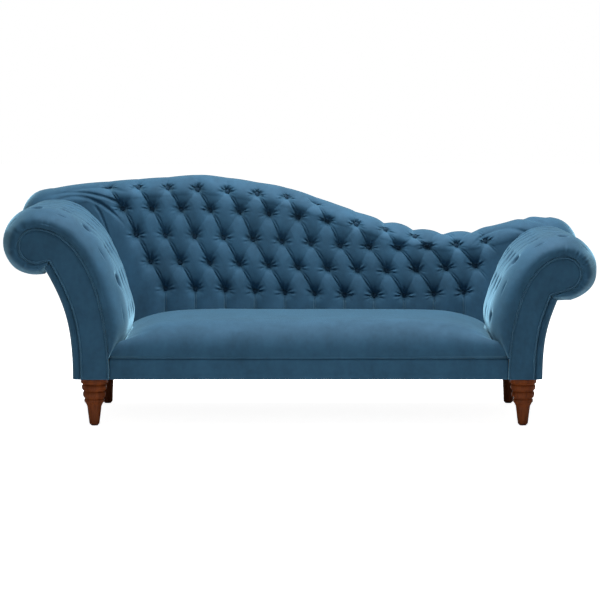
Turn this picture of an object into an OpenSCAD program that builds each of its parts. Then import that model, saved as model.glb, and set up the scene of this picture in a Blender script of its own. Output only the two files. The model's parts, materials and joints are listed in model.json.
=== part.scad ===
// Fainting couch with a deep-buttoned serpentine back between two scroll arms of unequal height.
// Millimetres. The floor is z = 0, the seat faces -Y, and the high arm is at the left, -X.

/* [Overall] */
// Depth from the arm facings to the rear of the crest roll
depth = 900; // [860:10:940]
// Clear width between the inner edges of the two facings
seat_width = 1470; // [1400:10:1540]
// Height of the underside of the frame above the floor
frame_height = 175; // [160:5:195]

/* [Seat] */
// Height of the border band under the seat seam
border_height = 77; // [72:1:84]
// Rise of the seat top above the seam
seat_rise = 136; // [124:2:150]
// Depth of the rounded front edge of the seat
seat_front_roll = 190; // [150:10:220]
// Drop of the seat top beside the arms
seat_side_drop = 22; // [10:1:30]
// Thickness of the padded border band
border_thickness = 8; // [6:1:10]

/* [Left arm] */
// Height of the scroll centre above the underside of the frame
left_rise = 493; // [470:1:510]
// Reach of the scroll centre outwards from the inner edge
left_reach = 266; // [250:1:280]
// Radius of the facing's scroll
left_scroll_radius = 64; // [58:1:70]
// Width of the facing at its foot
left_foot = 104; // [98:1:110]
// Distance of the tuck under the scroll inwards from the scroll centre
left_tuck_in = 49; // [45:1:53]
// Distance of the tuck under the scroll below the scroll centre
left_tuck_drop = 56; // [53:1:62]

/* [Right arm] */
// Height of the scroll centre above the underside of the frame
right_rise = 391; // [375:1:405]
// Reach of the scroll centre outwards from the inner edge
right_reach = 204; // [195:1:215]
// Radius of the facing's scroll
right_scroll_radius = 62; // [58:1:66]
// Width of the facing at its foot
right_foot = 97; // [92:1:102]
// Distance of the tuck under the scroll inwards from the scroll centre
right_tuck_in = 49; // [45:1:53]
// Distance of the tuck under the scroll below the scroll centre
right_tuck_drop = 80; // [76:1:84]

/* [Arm padding] */
// Thickness of the arm padding on its inner side
arm_pad_inner = 88; // [80:1:92]
// Thickness of the arm padding on top of the scroll
arm_pad_top = 78; // [70:1:84]
// Thickness of the arm padding on the outer side of the scroll
arm_pad_outer = 67; // [60:1:74]
// Thickness of the arm padding where it is tucked under the scroll
arm_pad_tuck = 49; // [44:1:54]
// Height over which the padding swells up beside the seat
arm_pad_swell = 150; // [130:5:170]
// Depth of the rounded front edge of the arm padding
arm_pad_round = 46; // [40:1:52]
// Distance between arm buttons along a row
arm_button_pitch = 116; // [110:1:122]
// Distance of the first column of arm buttons from the front of the arm
arm_first_button = 100; // [90:1:110]
// Depth of an arm button below the puffs round it
arm_button_depth = 20; // [14:1:24]
// Depth of the folds between arm buttons
arm_fold_depth = 8; // [4:1:12]

/* [Back] */
// Height of the highest point of the crest
crest_high = 901; // [880:1:920]
// Height of the lowest point of the crest
crest_low = 683; // [670:1:700]
// Height of the crest above the centre of the left scroll
left_wing_rise = 182; // [176:1:190]
// Height of the crest above the centre of the right scroll
right_wing_rise = 170; // [164:1:178]
// Lean of the back's front face from upright, in degrees
back_lean = 12; // [10:0.5:13]
// Thickness of the back padding over its webbing
back_pad_thickness = 85; // [78:1:90]
// Depth of the crest roll from its front face to its rear
crest_roll_depth = 205; // [190:1:210]
// Height of the crest roll
crest_roll_height = 75; // [68:1:82]
// Depth of the crest roll's front curve
crest_roll_front = 105; // [95:1:115]
// Depth of a back button below the puffs round it
back_button_depth = 30; // [22:1:36]
// Depth of the folds between back buttons
back_fold_depth = 13; // [8:1:18]
// Distance of the outside back from the rear of the crest roll
rear_overhang = 88; // [80:1:96]

/* [Buttons] */
// Diameter of a covered button
button_diameter = 22; // [18:1:24]
// Thickness of a covered button's dome
button_dome = 6; // [4:0.5:8]

/* [Facings] */
// Thickness of a padded facing
facing_thickness = 11; // [9:1:13]
// Width of the welt round a facing
welt_width = 8; // [6:0.5:9]
// Height of the welt over the facing
welt_height = 3; // [2:0.5:4]
// Distance between the facing and the outer surface of the arm
outside_gap = 31; // [28:1:34]
// Thickness of the outside arm
outside_thickness = 12; // [10:1:14]
// Radius of the outside arm's front corner
outside_corner = 25; // [20:1:27]

/* [Frame] */
// Thickness of the arm boards
board_thickness = 25; // [22:1:28]
// Thickness of the seat rails
rail_thickness = 28; // [24:1:32]
// Height of the seat rails
rail_height = 70; // [64:1:71]
// Width of the cross rails
cross_width = 45; // [38:1:50]
// Drop of the cross rails below the seat rails
cross_drop = 12; // [8:1:16]
// Length of the corner blocks along the side rails
block_length = 74; // [70:1:80]
// Height of the corner blocks
block_height = 56; // [50:1:60]
// Radius of the rail inside each scroll
scroll_rail_radius = 22; // [18:1:26]
// Width of an arm's tack rail
tack_width = 28; // [24:1:32]
// Height of an arm's tack rail
tack_height = 38; // [32:1:44]
// Thickness of the arm linings
lining_thickness = 3; // [2:0.5:4]
// Width of a back post
post_width = 32; // [28:1:38]
// Height of the crest rail
crest_rail_height = 55; // [50:1:58]
// Thickness of the crest padding over its rail
crest_cover = 63; // [60:1:66]
// Thickness of the outside back
outside_back_thickness = 6; // [4:1:8]

/* [Springs and sheets] */
// Number of zigzag seat springs
spring_count = 9; // [7:1:10]
// Diameter of the spring wire
spring_wire = 3.6; // [3:0.2:4]
// Width of a zigzag spring over its loops
spring_width = 52; // [46:2:58]
// Distance between a spring's loops
spring_pitch = 31; // [28:1:36]
// Width of a webbing strap
strap_width = 52; // [46:1:56]
// Thickness of a webbing strap
strap_thickness = 2.5; // [2:0.5:3]
// Number of webbing straps behind the back
strap_count = 15; // [12:1:16]
// Thickness of the hessian over the springs
hessian_thickness = 1.2; // [0.8:0.2:1.6]
// Thickness of the dust cover
dust_cover_thickness = 1; // [0.6:0.2:1.4]

/* [Legs] */
// Distance of the front legs' axis behind the facings
front_leg_inset = 60; // [56:1:64]
// Distance of the legs' axis outwards from the inner edge of the arm
leg_offset = 58; // [56:1:60]
// Radius of a front leg's top collar
collar_radius = 50; // [46:1:50]
// Radius of a front leg's foot
front_foot_radius = 18.5; // [16:0.5:21]
// Width of a rear leg's flared top
rear_leg_top = 68; // [60:1:70]
// Width of a rear leg's shank under the flare
rear_leg_shank = 50; // [44:1:54]
// Width of a rear leg's foot
rear_leg_foot = 38; // [34:1:42]
// Diameter of a leg bolt
bolt_diameter = 8; // [6:1:10]
// Thickness of a glide
glide_height = 4; // [3:0.5:5]
// Radius of a glide
glide_radius = 13; // [11:0.5:15]

/* [Hidden] */

// Clearance between soft pieces and what they lie against
clearance = 0.3;
// Overrun of every cut
overrun = 1;
// Least distance between two points of a padding's surface
least_step = 3;
// Room for a padding's flat facets round a curved piece
facet_room = 10;
// Clearance of a bolt in its bore
bolt_clearance = 0.2;
// Sides of a turned or bored circle
round_steps = 48;
// Gap between the facing and the padding's rounded edge
edge_gap = 4;
// Height above the seam at which the back padding starts
back_bottom_rise = 78;
// Height above the seam at which the back's tack rail starts
tack_rise = 50;
// Distance of the side rails from the arm's inner edge
side_rail_near = 10;
// Gap between a corner block and the outside arm
block_gap = 3;
// Distance of the outside arm's corner behind the facing
corner_gap = 1;
// Distance below the crest of the roll's front and rear shoulders
crest_shoulder = 14;
// Room of the tucked cover below the crest rail
tuck_margin = 6;
// Height of the seat's front lip over the hessian
seat_lip = 10;
// Room between the seat padding and an arm's padding
seat_margin = 2;
// Height by which an arm's padding swells before the seam
swell_lead = 14;
// Depth of the facing's crowned edge
facing_crown = 2;
// Height of a button over the bottom of its pit, on an arm and on the back
button_lift = 5;
back_button_lift = 9;
// Height over which the crest's slope is taken
slope_step = 1;
// Least distance between two of the back's rows above its uppermost buttons
crest_row_room = 8;
// Length and width of a spring clip
clip_length = 16;
clip_width = 12;
// Depth of a leg bolt in its leg
bolt_bite = 45;
// Radius and thickness of a tee nut, and the bolt's end above it
nut_radius = 12;
nut_height = 4;
bolt_end = 1;
// Rounding of a foot's edge
foot_round = 2;
// Points of an arm's outline closer to the frame's underside than this lie on it
foot_snap = 1;

// Places that follow from the sizes above
left_extent = seat_width / 2 + left_reach + left_scroll_radius + arm_pad_outer;
right_extent = seat_width / 2 + right_reach + right_scroll_radius + arm_pad_outer;
seat_middle = (left_extent - right_extent) / 2;
left_edge = seat_middle - seat_width / 2;
right_edge = seat_middle + seat_width / 2;
front_y = -depth / 2;
facing_front = front_y + welt_height;
board_front = facing_front + facing_thickness;
board_rear = board_front + board_thickness;
rear_plane = depth / 2 - rear_overhang;
rear_board_front = rear_plane - board_thickness;
seam_z = frame_height + border_height;
seat_top = seam_z + seat_rise;
rail_top = frame_height + rail_height;
border_front = board_front + clearance;
front_rail_front = border_front + border_thickness;
front_rail_rear = front_rail_front + rail_thickness;
rear_rail_front = rear_plane - rail_thickness;
block_near = side_rail_near + rail_thickness;
function block_width(arm) = foot(arm) - block_gap - block_near;
front_leg_y = front_y + front_leg_inset;
rear_leg_y = rear_board_front - block_length / 2;

// Each arm: side, inner edge, rise, reach, scroll radius, foot, tuck in, tuck drop, button rows
left_arm = [-1, left_edge, left_rise, left_reach, left_scroll_radius,
    left_foot, left_tuck_in, left_tuck_drop, 6];
right_arm = [1, right_edge, right_rise, right_reach, right_scroll_radius,
    right_foot, right_tuck_in, right_tuck_drop, 5];

function side(arm) = arm[0];
function rise(arm) = arm[2];
function reach(arm) = arm[3];
function radius(arm) = arm[4];
function foot(arm) = arm[5];
function rows(arm) = arm[8];

// Place across the couch of a point that lies out from an arm's inner edge
function across(arm, out) = arm[1] + arm[0] * out;

function mix(a, b, t) = a + (b - a) * t;
function clamp(t) = min(1, max(0, t));
function smooth(t) = clamp(t) * clamp(t) * (3 - 2 * clamp(t));
function bezier(p, t) =
    pow(1 - t, 3) * p[0] + 3 * t * pow(1 - t, 2) * p[1]
    + 3 * t * t * (1 - t) * p[2] + pow(t, 3) * p[3];
function on_circle(centre, r, angle) = centre + r * [cos(angle), sin(angle)];
function wave(t) = abs(sin(180 * t));

// Arm outline in (out from the inner edge, up from the frame's underside).
// The inner edge swells up to the top of the scroll, where its tangent lies flat.
inner_lift_share = 0.62;
inner_pull_share = 0.56;
outer_pull_share = 0.30;
outer_lift_shares = [0.68, 0.50];
function inner_edge(arm) = [
    [0, 0],
    [0, inner_lift_share * (rise(arm) + radius(arm))],
    [(1 - inner_pull_share) * reach(arm), rise(arm) + radius(arm)],
    [reach(arm), rise(arm) + radius(arm)]
];
function scroll_centre(arm) = [reach(arm), rise(arm)];
function tuck(arm) = scroll_centre(arm) - [arm[6], arm[7]];
// The scroll's arc ends where the line from the tuck touches it
function arc_end(arm) =
    atan2(-arm[7], -arm[6]) + acos(min(1, radius(arm) / norm([arm[6], arm[7]])));
function outer_edge(arm) = [
    tuck(arm),
    [mix(foot(arm), tuck(arm)[0], outer_pull_share), outer_lift_shares[0] * tuck(arm)[1]],
    [foot(arm), outer_lift_shares[1] * tuck(arm)[1]],
    [foot(arm), 0]
];
function inner_points(arm, first, count) =
    [for (i = [0:count]) bezier(inner_edge(arm), mix(first, 1, i / count))];
function arc_points(arm, count) = [
    for (i = [1:count]) on_circle(scroll_centre(arm), radius(arm), mix(90, arc_end(arm), i / count))
];
function outer_points(arm, count) = [for (i = [0:count]) bezier(outer_edge(arm), i / count)];

// Offset of an open or closed path along its mitred normals, to the left of its travel
function unit(v) = v / norm(v);
function left_of(v) = [-v[1], v[0]];
function edge_normal(a, b) = left_of(unit(b - a));
function mitre(n, m) = (n + m) / (1 + n * m);
function path_normal(path, i) =
    i == 0 ? edge_normal(path[0], path[1])
    : i == len(path) - 1 ? edge_normal(path[i - 1], path[i])
    : mitre(edge_normal(path[i - 1], path[i]), edge_normal(path[i], path[i + 1]));
function shifted(path, d) = [for (i = [0:len(path) - 1]) path[i] + d * path_normal(path, i)];
function reversed(list) = [for (i = [len(list) - 1:-1:0]) list[i]];
function band(path, near, far) = concat(shifted(path, near), reversed(shifted(path, far)));
// The same offset with a mitre at one end, towards a point after or before the path
function shifted_on(path, after, d) =
    let (all = shifted(concat(path, [after]), d)) [for (i = [0:len(path) - 1]) all[i]];
function shifted_from(before, path, d) =
    let (all = shifted(concat([before], path), d)) [for (i = [1:len(path)]) all[i]];

// Triangles that close a ring, each between its two facing sides
function end_strip(size) = [
    for (i = [0:ceil(size / 2) - 2])
        each [
            [i, size - 2 - i, size - 1 - i],
            if (i + 1 < size - 2 - i) [i, i + 1, size - 2 - i]
        ]
];

// Closed solid through equal closed rings
module loft(rings, flip = false) {
    last = len(rings) - 1;
    size = len(rings[0]);
    strip = end_strip(size);
    ends = concat(strip, [for (f = strip) [for (i = reversed(f)) last * size + i]]);
    walls = [
        for (k = [0:last - 1])
            for (i = [0:size - 1])
                let (j = (i + 1) % size)
                    each [
                        [k * size + i, (k + 1) * size + i, (k + 1) * size + j],
                        [k * size + i, (k + 1) * size + j, k * size + j]
                    ]
    ];
    faces = concat(ends, walls);
    polyhedron([for (ring = rings) each ring], flip ? [for (f = faces) reversed(f)] : faces);
}

// Solid of an outline in (x, z), from one depth to another
module slab(from_y, to_y) {
    translate([0, to_y, 0]) rotate([90, 0, 0]) linear_extrude(to_y - from_y) children();
}

// Solid of an outline in (y, z), from one place across to another
module bar(from_x, to_x) {
    translate([from_x, 0, 0]) rotate([90, 0, 90]) linear_extrude(to_x - from_x) children();
}

// Places an arm outline on the couch, as points in (x, z),
// and sets those that lie within a hair of the frame's underside on it
function placed(arm, path) = [
    for (p = path) [across(arm, p[0]), frame_height + (p[1] < foot_snap ? 0 : p[1])]
];

// Padded path of an arm: from the seam up the inner side, round the scroll and on to the tuck.
// Its points lie on the button rows and midway between them.
arc_count = 8;
tail_count = 1;
outside_steps = 10;
seam_search = 24;
function seam_share(arm) =
    let (edge = inner_edge(arm))
        lookup(border_height, [
            for (i = [0:seam_search]) [bezier(edge, i / seam_search)[1], i / seam_search]
        ]);
function inner_count(arm) = 2 * rows(arm);
function arc_last(arm) = on_circle(scroll_centre(arm), radius(arm), arc_end(arm));
function pad_path(arm) = concat(
    inner_points(arm, seam_share(arm), inner_count(arm)),
    arc_points(arm, arc_count),
    [for (i = [1:tail_count]) mix(arc_last(arm), tuck(arm), i / tail_count)]
);
// Point of the outer edge just under the tuck
function under_tuck(arm) = bezier(outer_edge(arm), 1 / outside_steps);
swell_power = 0.85;
function swell_at(rise_over_seam) =
    sin(90 * pow(clamp(rise_over_seam / arm_pad_swell), swell_power));
// Thickness of the padding at a point of the padded path
function pad_thickness(arm, path, i) =
    let (n = inner_count(arm))
        i <= n ? mix(arm_pad_inner, arm_pad_top, pow(i / n, 2)) * swell_at(path[i][1] - border_height)
        : i > n + arc_count ? mix(arm_pad_tuck, outside_gap, (i - n - arc_count) / tail_count)
        : let (angle = mix(90, arc_end(arm), (i - n) / arc_count))
            angle > 0 ? mix(arm_pad_outer, arm_pad_top, angle / 90)
            : mix(arm_pad_outer, arm_pad_tuck, angle / arc_end(arm));

// Front face of the back and the faces behind it
function face_y(z) =
    depth / 2 - crest_roll_depth + (z - crest_high + crest_roll_height) * tan(back_lean);
function webbing_y(z) = face_y(z) + back_pad_thickness;

// Puffs between buttons: nought on the folds, one in the middle of a diamond
puff_power_share = 0.5;
function puff(along, row) =
    pow(wave((along + row) / 2) * wave((along - row) / 2), puff_power_share);
// Deeper pit close to a button
pit_share = 0.16;
function pit(along, row) =
    let (a = (along + row) / 2, b = (along - row) / 2)
        exp(-(pow(a - round(a), 2) + pow(b - round(b), 2)) / pow(pit_share, 2));

// Arm padding
round_shares = [0.30, 0.62, 0.86, 1];
arm_steps = 2;
half_pitch = arm_button_pitch / 2;
first_button_y = front_y + arm_first_button;
arm_station_count = ceil((face_y(crest_high) - first_button_y) / half_pitch) * arm_steps;
round_end = front_y + edge_gap + arm_pad_round;
round_y = [for (share = round_shares) round_end - arm_pad_round * sqrt(1 - share * share)];
arm_stations = concat(
    [for (k = [0:len(round_shares) - 1]) [round_y[k], round_shares[k], -1]],
    [
        for (m = [-1:arm_station_count])
            [first_button_y + m * half_pitch / arm_steps, 1, m / arm_steps]
    ]
);
// How far the tufting is in force at a point, from nought to one
function arm_tufting(arm, i, along) =
    smooth(1 + along * 1.4) * smooth(i / 3) * smooth((inner_count(arm) + 2 - i) / 2);
function arm_row(arm, i) = (inner_count(arm) - i) / 2;
function arm_dent(arm, i, along) =
    let (row = arm_row(arm, i), force = arm_tufting(arm, i, along))
        force * (arm_fold_depth * (1 - puff(along, row))
            + (arm_button_depth - arm_fold_depth) * pit(along, row));
// Direction of the padding's thickness, which turns to the tuck's mitre along the tail
function tuck_mitre(arm) =
    mitre(edge_normal(arc_last(arm), tuck(arm)), edge_normal(tuck(arm), under_tuck(arm)));
function pad_lead(arm, path, i) =
    let (last = inner_count(arm) + arc_count)
        i <= last ? path_normal(path, i)
        : mix(path_normal(path, last), tuck_mitre(arm), (i - last) / tail_count);
function arm_ring(arm, k) =
    let (
        path = pad_path(arm),
        station = arm_stations[k],
        left = len(arm_stations) - 1 - k,
        inner = shifted_on(path, under_tuck(arm), lining_thickness + clearance),
        outer = [
            for (i = [0:len(path) - 1])
                path[i] + pad_lead(arm, path, i) * max(
                    lining_thickness + clearance + least_step,
                    pad_thickness(arm, path, i) * station[1] - arm_dent(arm, i, station[2])
                )
        ]
    )
        [
            for (p = concat(outer, reversed(inner)))
                let (
                    z = frame_height + p[1],
                    limit = face_y(z) - clearance - left * least_step
                )
                    [across(arm, p[0]), left == 0 ? limit : min(station[0], limit), z]
        ];
module arm_pad(arm) {
    loft([for (k = [0:len(arm_stations) - 1]) arm_ring(arm, k)], side(arm) < 0);
}

// Covered button, facing up, with a shallow cone behind its dome
module button() {
    half = button_diameter / 2;
    rotate_extrude($fn = 24) polygon([
        [0, 0],
        [half * 0.5, 0],
        [half, button_dome * 0.5],
        [half * 0.9, button_dome * 0.8],
        [half * 0.6, button_dome],
        [0, button_dome]
    ]);
}

// Buttons of an arm, each on the padding's outer surface and turned along its normal
module arm_buttons(arm) {
    path = pad_path(arm);
    for (row = [0:rows(arm) - 2], m = [0:arm_station_count / arm_steps]) {
        i = inner_count(arm) - 2 * row;
        y = first_button_y + m * half_pitch;
        normal = path_normal(path, i);
        out = pad_thickness(arm, path, i) - arm_button_depth + button_lift;
        place = path[i] + normal * out;
        z = frame_height + place[1];
        if ((m - row) % 2 == 0 && y < face_y(z) - half_pitch * 0.4)
            translate([across(arm, place[0]), y, z])
                rotate([0, side(arm) * (90 - atan2(normal[1], normal[0])), 0]) button();
    }
}

// Crest of the back as heights at shares of the way between the two scroll centres
crest_place_shares = [0, 0.04, 0.13, 0.22, 0.30, 0.40, 0.48, 0.56, 0.66, 0.76, 0.83, 0.91, 0.96, 1];
crest_rise_shares = [0, 0, 0.90, 0.96, 1, 0.89, 0.75, 0.52, 0.22, 0.02, 0, 0.13, 0, 0];
left_centre_x = across(left_arm, left_reach);
right_centre_x = across(right_arm, right_reach);
left_centre_z = frame_height + left_rise;
right_centre_z = frame_height + right_rise;
left_wing_z = left_centre_z + left_wing_rise;
right_wing_z = right_centre_z + right_wing_rise;
crest_knots = [
    for (k = [0:len(crest_place_shares) - 1])
        [
            mix(left_centre_x, right_centre_x, crest_place_shares[k]),
            k == 0 ? left_wing_z
            : k == 1 ? mix(left_wing_z, crest_high, 0.25)
            : k == len(crest_place_shares) - 2 ? right_wing_z
            : k == len(crest_place_shares) - 1 ? right_wing_z - least_step
            : mix(crest_low, crest_high, crest_rise_shares[k])
        ]
];
// Smooth curve through the knots, with slopes taken from the neighbouring knots
function knot_slope(k) =
    let (
        a = crest_knots[max(0, k - 1)],
        b = crest_knots[min(len(crest_knots) - 1, k + 1)]
    )
        (b[1] - a[1]) / (b[0] - a[0]);
function knot_before(x, k = 0) =
    k >= len(crest_knots) - 2 || x < crest_knots[k + 1][0] ? k : knot_before(x, k + 1);
function crest_z(x) =
    let (
        k = knot_before(x),
        a = crest_knots[k],
        b = crest_knots[k + 1],
        w = b[0] - a[0],
        t = clamp((x - a[0]) / w),
        u = 1 - t
    )
        u * u * (1 + 2 * t) * a[1] + u * u * t * w * knot_slope(k)
        + t * t * (1 + 2 * u) * b[1] - t * t * u * w * knot_slope(k + 1);

// Button rows of the back, as shares of the seat width from the seat's middle
row_first_shares = [-0.534, -0.495, -0.458, -0.420, -0.379];
row_last_shares = [0.022, 0.284, 0.472, 0.445, 0.414];
row_counts = [8, 11, 13, 12, 11];
// Heights of the rows as shares of the rise from the seat top to the highest crest, and their sag
row_rise_shares = [0.908, 0.748, 0.549, 0.347, 0.146];
row_sag_shares = [0.136, 0.160, 0.098, 0.072, 0.057];
row_low_shares = [0.216, 0.318, 0.216, 0.216, 0.216];
sag_reach_shares = [0.371, 0.259];
back_rise = crest_high - seat_top;
function row_first(row) = seat_middle + row_first_shares[row] * seat_width;
function row_step(row) =
    (row_last_shares[row] - row_first_shares[row]) * seat_width / (2 * (row_counts[row] - 1));
// Place across of a point: along counts half pitches from the first button of the top row
function whole_row_x(along, row) = row_first(row) + (along - row) * row_step(row);
function row_x(along, row) =
    mix(whole_row_x(along, floor(row)), whole_row_x(along, ceil(row)), row - floor(row));
function whole_row_z(x, row) =
    let (
        low = seat_middle + row_low_shares[row] * seat_width,
        spread = sag_reach_shares[x < low ? 0 : 1] * seat_width
    )
        seat_top + back_rise * (row_rise_shares[row]
            - row_sag_shares[row] * exp(-pow((x - low) / spread, 2)));
function row_z(x, row) =
    mix(whole_row_z(x, floor(row)), whole_row_z(x, ceil(row)), row - floor(row));
// Uppermost row that still has buttons at a place along the back
function top_row(along) =
    along <= 2 * row_counts[0] - 1 ? 0 : along <= 2 * row_counts[1] ? 1 : 2;

// Surface of the crest roll: how far it falls back from the front face at a depth below the crest
function roll_back(below) =
    let (s = clamp(1 - below / crest_roll_height)) crest_roll_front * (1 - sqrt(1 - s * s));

row_count = 5;
front_steps = 9;
back_bottom = seam_z + back_bottom_rise;
rear_shoulder_shares = [0.9, 0.4];
rear_tuck_depth = crest_cover + crest_rail_height + tuck_margin;
last_along = 26;
column_steps = 2;

// Height of an arm's inner edge at a place across, or the bottom of the back beside it
edge_search = 20;
function edge_z(arm, x) =
    let (
        out = side(arm) * (x - arm[1]),
        path = shifted(inner_points(arm, 0, edge_search), wing_foot_gap)
    )
        max(back_bottom, out < 0 ? 0 : frame_height + lookup(out, path));
function foot_z(x) = max(edge_z(left_arm, x), edge_z(right_arm, x));

// Dent of the back's surface from its smooth envelope. Above the uppermost buttons a pleat
// runs out of each pit and over the crest.
crest_pleat_share = 0.45;
function pleat(along, row) = 1 - pow(wave((along - row) / 2), puff_power_share);
function back_dent(along, row) =
    let (top = top_row(along), climb = (top - row) / (top + 0.5))
        row > row_count - 1 ? back_fold_depth * pleat(along, row_count - 1)
        : row < top ? crest_pleat_share * back_fold_depth * pleat(along, top)
            + back_button_depth * pit(along, top) * (1 - climb) * crest_pleat_share
        : back_fold_depth * (1 - puff(along, row))
            + (back_button_depth - back_fold_depth) * pit(along, row);
// Share of a dent that is left close to the crest
crest_ease_share = 0.4;
function crest_ease(below) =
    mix(crest_ease_share, 1, smooth((below - crest_shoulder) / crest_roll_height));

// Closed section of the back padding on one spoke. The spoke leaves its foot, a point in (x, z),
// in a direction and is as long as the padding is high there.
function spoke_point(foot_point, way, d, y) =
    [foot_point[0] + way[0] * d, y, foot_point[1] + way[1] * d];
// Most that the cover, the tuck and the roll may take of a spoke's length
cover_limit_share = 0.6;
tuck_limit_share = 0.97;
roll_limit_share = 0.7;
function cover_on(high) = min(crest_cover, cover_limit_share * high);
function tuck_on(high) = min(rear_tuck_depth, tuck_limit_share * high);
function crest_part(foot_point, way, high, dent = 0) =
    let (
        roll_z = foot_point[1] + way[1] * (high - crest_roll_height),
        front = face_y(roll_z),
        rear = front + crest_roll_depth,
        webbing = webbing_y(foot_point[1] + way[1] * (high - cover_on(high))) - clearance,
        wrap = rear_plane + outside_back_thickness + clearance
    )
        [
            spoke_point(foot_point, way, high - crest_shoulder,
                front + roll_back(crest_shoulder) + dent),
            spoke_point(foot_point, way, high, front + crest_roll_front),
            spoke_point(foot_point, way, high - rear_shoulder_shares[1] * crest_roll_height,
                mix(front, rear, rear_shoulder_shares[0])),
            spoke_point(foot_point, way, high - min(crest_roll_height, roll_limit_share * high), rear),
            spoke_point(foot_point, way, high - tuck_on(high), wrap),
            spoke_point(foot_point, way, high - cover_on(high), rear_plane + clearance),
            spoke_point(foot_point, way, high - cover_on(high), webbing),
            spoke_point(foot_point, way, 0, webbing_y(foot_point[1]) - clearance)
        ];
// Height of a point of the tufted face: the rows above the uppermost buttons share the way
// from these to the crest
function front_z(along, row, x) =
    let (
        top = top_row(along),
        shoulder_z = crest_z(x) - crest_shoulder,
        top_z = min(row_z(x, top), shoulder_z - (2 * top + 1) * crest_row_room)
    )
        row < top ? mix(top_z, shoulder_z, (top - row) / (top + 0.5))
        : min(row_z(x, row), top_z - (row - top) * 2 * least_step);
// Upright section at a place across, with its points on the button rows
function tufted_ring(along) =
    let (
        x_low = row_x(along, row_count - 1),
        top_x = row_x(along, 0),
        low = foot_z(x_low),
        front = [
            for (i = [0:front_steps])
                let (
                    row = (front_steps - i) / 2,
                    x = row > row_count - 1 ? x_low : row_x(along, row),
                    crest = crest_z(x),
                    wanted = row > row_count - 1 ? low : front_z(along, row, x),
                    z = max(wanted, low + i * least_step)
                )
                    [x, face_y(min(z, crest - crest_roll_height)) + roll_back(crest - z)
                        + back_dent(along, row) * crest_ease(crest - z), z]
        ],
        upper = crest_part([top_x, foot_z(top_x)], [0, 1], crest_z(top_x) - foot_z(top_x),
            crest_ease_share * crest_pleat_share * back_dent(along, top_row(along)))
    )
        concat(front, upper);
// Smooth section of a wing on a spoke
function wing_ring(foot_point, way, high) =
    concat(
        [
            for (i = [0:front_steps])
                let (
                    d = (high - crest_shoulder - least_step) * i / front_steps,
                    z = foot_point[1] + way[1] * d,
                    roll_z = foot_point[1] + way[1] * (high - crest_roll_height)
                )
                    spoke_point(foot_point, way, d,
                        max(face_y(z), face_y(roll_z) + roll_back(high - d)))
        ],
        crest_part(foot_point, way, high)
    );
// Wing spokes round a scroll, from its tuck to its top, and their reach beyond the scroll
wing_spokes = 4;
function wing_way(arm, angle) = [side(arm) * cos(angle), sin(angle)];
function wing_angle(arm, k) = mix(arc_end(arm), 90, k / wing_spokes);
function wing_high(arm, angle) =
    let (
        top = arm[0] < 0 ? left_wing_rise : right_wing_rise,
        end = angle > 0 ? arm_pad_outer : mix(arm_pad_outer, arm_pad_tuck, angle / arc_end(arm))
    )
        mix(end, top - radius(arm), smooth(angle / 75)) - wing_foot_gap;
wing_foot_gap = lining_thickness + clearance + facet_room;
function wing_foot(arm, angle) =
    let (r = radius(arm) + wing_foot_gap)
        [across(arm, reach(arm)), frame_height + rise(arm)] + r * wing_way(arm, angle);
// A wing's spokes as [foot, way, height]; the first stands on the tuck, along its mitre
function spoke(arm, k) =
    let (angle = wing_angle(arm, k))
        k < 0 ? tuck_spoke(arm) : [wing_foot(arm, angle), wing_way(arm, angle), wing_high(arm, angle)];
function tuck_spoke(arm) =
    let (lead = tuck_mitre(arm), way = unit([side(arm) * lead[0], lead[1]]))
        [
            placed(arm, [tuck(arm)])[0] + way * wing_foot_gap, way,
            norm(lead) * outside_gap - wing_foot_gap
        ];
function scroll_ring(arm, k) =
    let (s = spoke(arm, k)) wing_ring(s[0], s[1], s[2]);
shoulder_columns = 2;
function shoulder_ring(from_x, to_x, k) =
    let (x = mix(from_x, to_x, k / (shoulder_columns + 1)))
        wing_ring([x, foot_z(x)], [0, 1], crest_z(x) - foot_z(x));
back_rings = concat(
    [for (k = [-1:wing_spokes]) scroll_ring(left_arm, k)],
    [for (k = [1:shoulder_columns]) shoulder_ring(left_centre_x, row_x(0, 0), k)],
    [for (k = [0:last_along * column_steps]) tufted_ring(k / column_steps)],
    [for (k = [1:shoulder_columns]) shoulder_ring(row_x(last_along, 1), right_centre_x, k)],
    [for (k = [wing_spokes:-1:-1]) scroll_ring(right_arm, k)]
);

function crest_rail_ring(x) =
    let (
        top = crest_z(x) - crest_cover - clearance,
        low = top - crest_rail_height
    )
        [
            [x, webbing_y(low) + strap_thickness, low],
            [x, rear_plane, low],
            [x, rear_plane, top],
            [x, webbing_y(top) + strap_thickness, top]
        ];

module crest_rail() {
    inner = [
        for (k = [0:last_along * column_steps]) row_x(k / column_steps, 0)
    ];
    color("#b98d5f") loft([
        for (x = concat([left_edge], [for (x = inner) if (x > left_edge && x < right_edge) x],
            [right_edge])) crest_rail_ring(x)
    ]);
}

// Covered buttons of the back, facing out of its front face
module back_buttons() {
    color("#2b5168")
        for (row = [0:row_count - 1], k = [0:row_counts[row] - 1]) {
            along = row + 2 * k;
            x = row_x(along, row);
            crest = crest_z(x);
            z = front_z(along, row, x);
            y = face_y(min(z, crest - crest_roll_height)) + roll_back(crest - z);
            fall = (roll_back(crest - z - slope_step) - roll_back(crest - z)) / slope_step;
            tilt = z > crest - crest_roll_height ? atan(fall) : back_lean;
            sink = back_button_depth * crest_ease(crest - z);
            translate([x, y + sink - back_button_lift, z])
                rotate([90 - tilt, 0, 0]) button();
        }
}

// Seat padding: rings across the seat from the seam to the back, each with its crowned top
seat_depth_shares = [0, 0.012, 0.035, 0.075, 0.13, 0.21, 0.32, 0.45, 0.60, 0.75, 0.88, 1];
seat_across_shares = [0, 0.012, 0.03, 0.06, 0.11, 0.2, 0.5];
seat_low = seam_z + hessian_thickness + clearance;
seat_rear = face_y(seat_top) - clearance;
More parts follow.
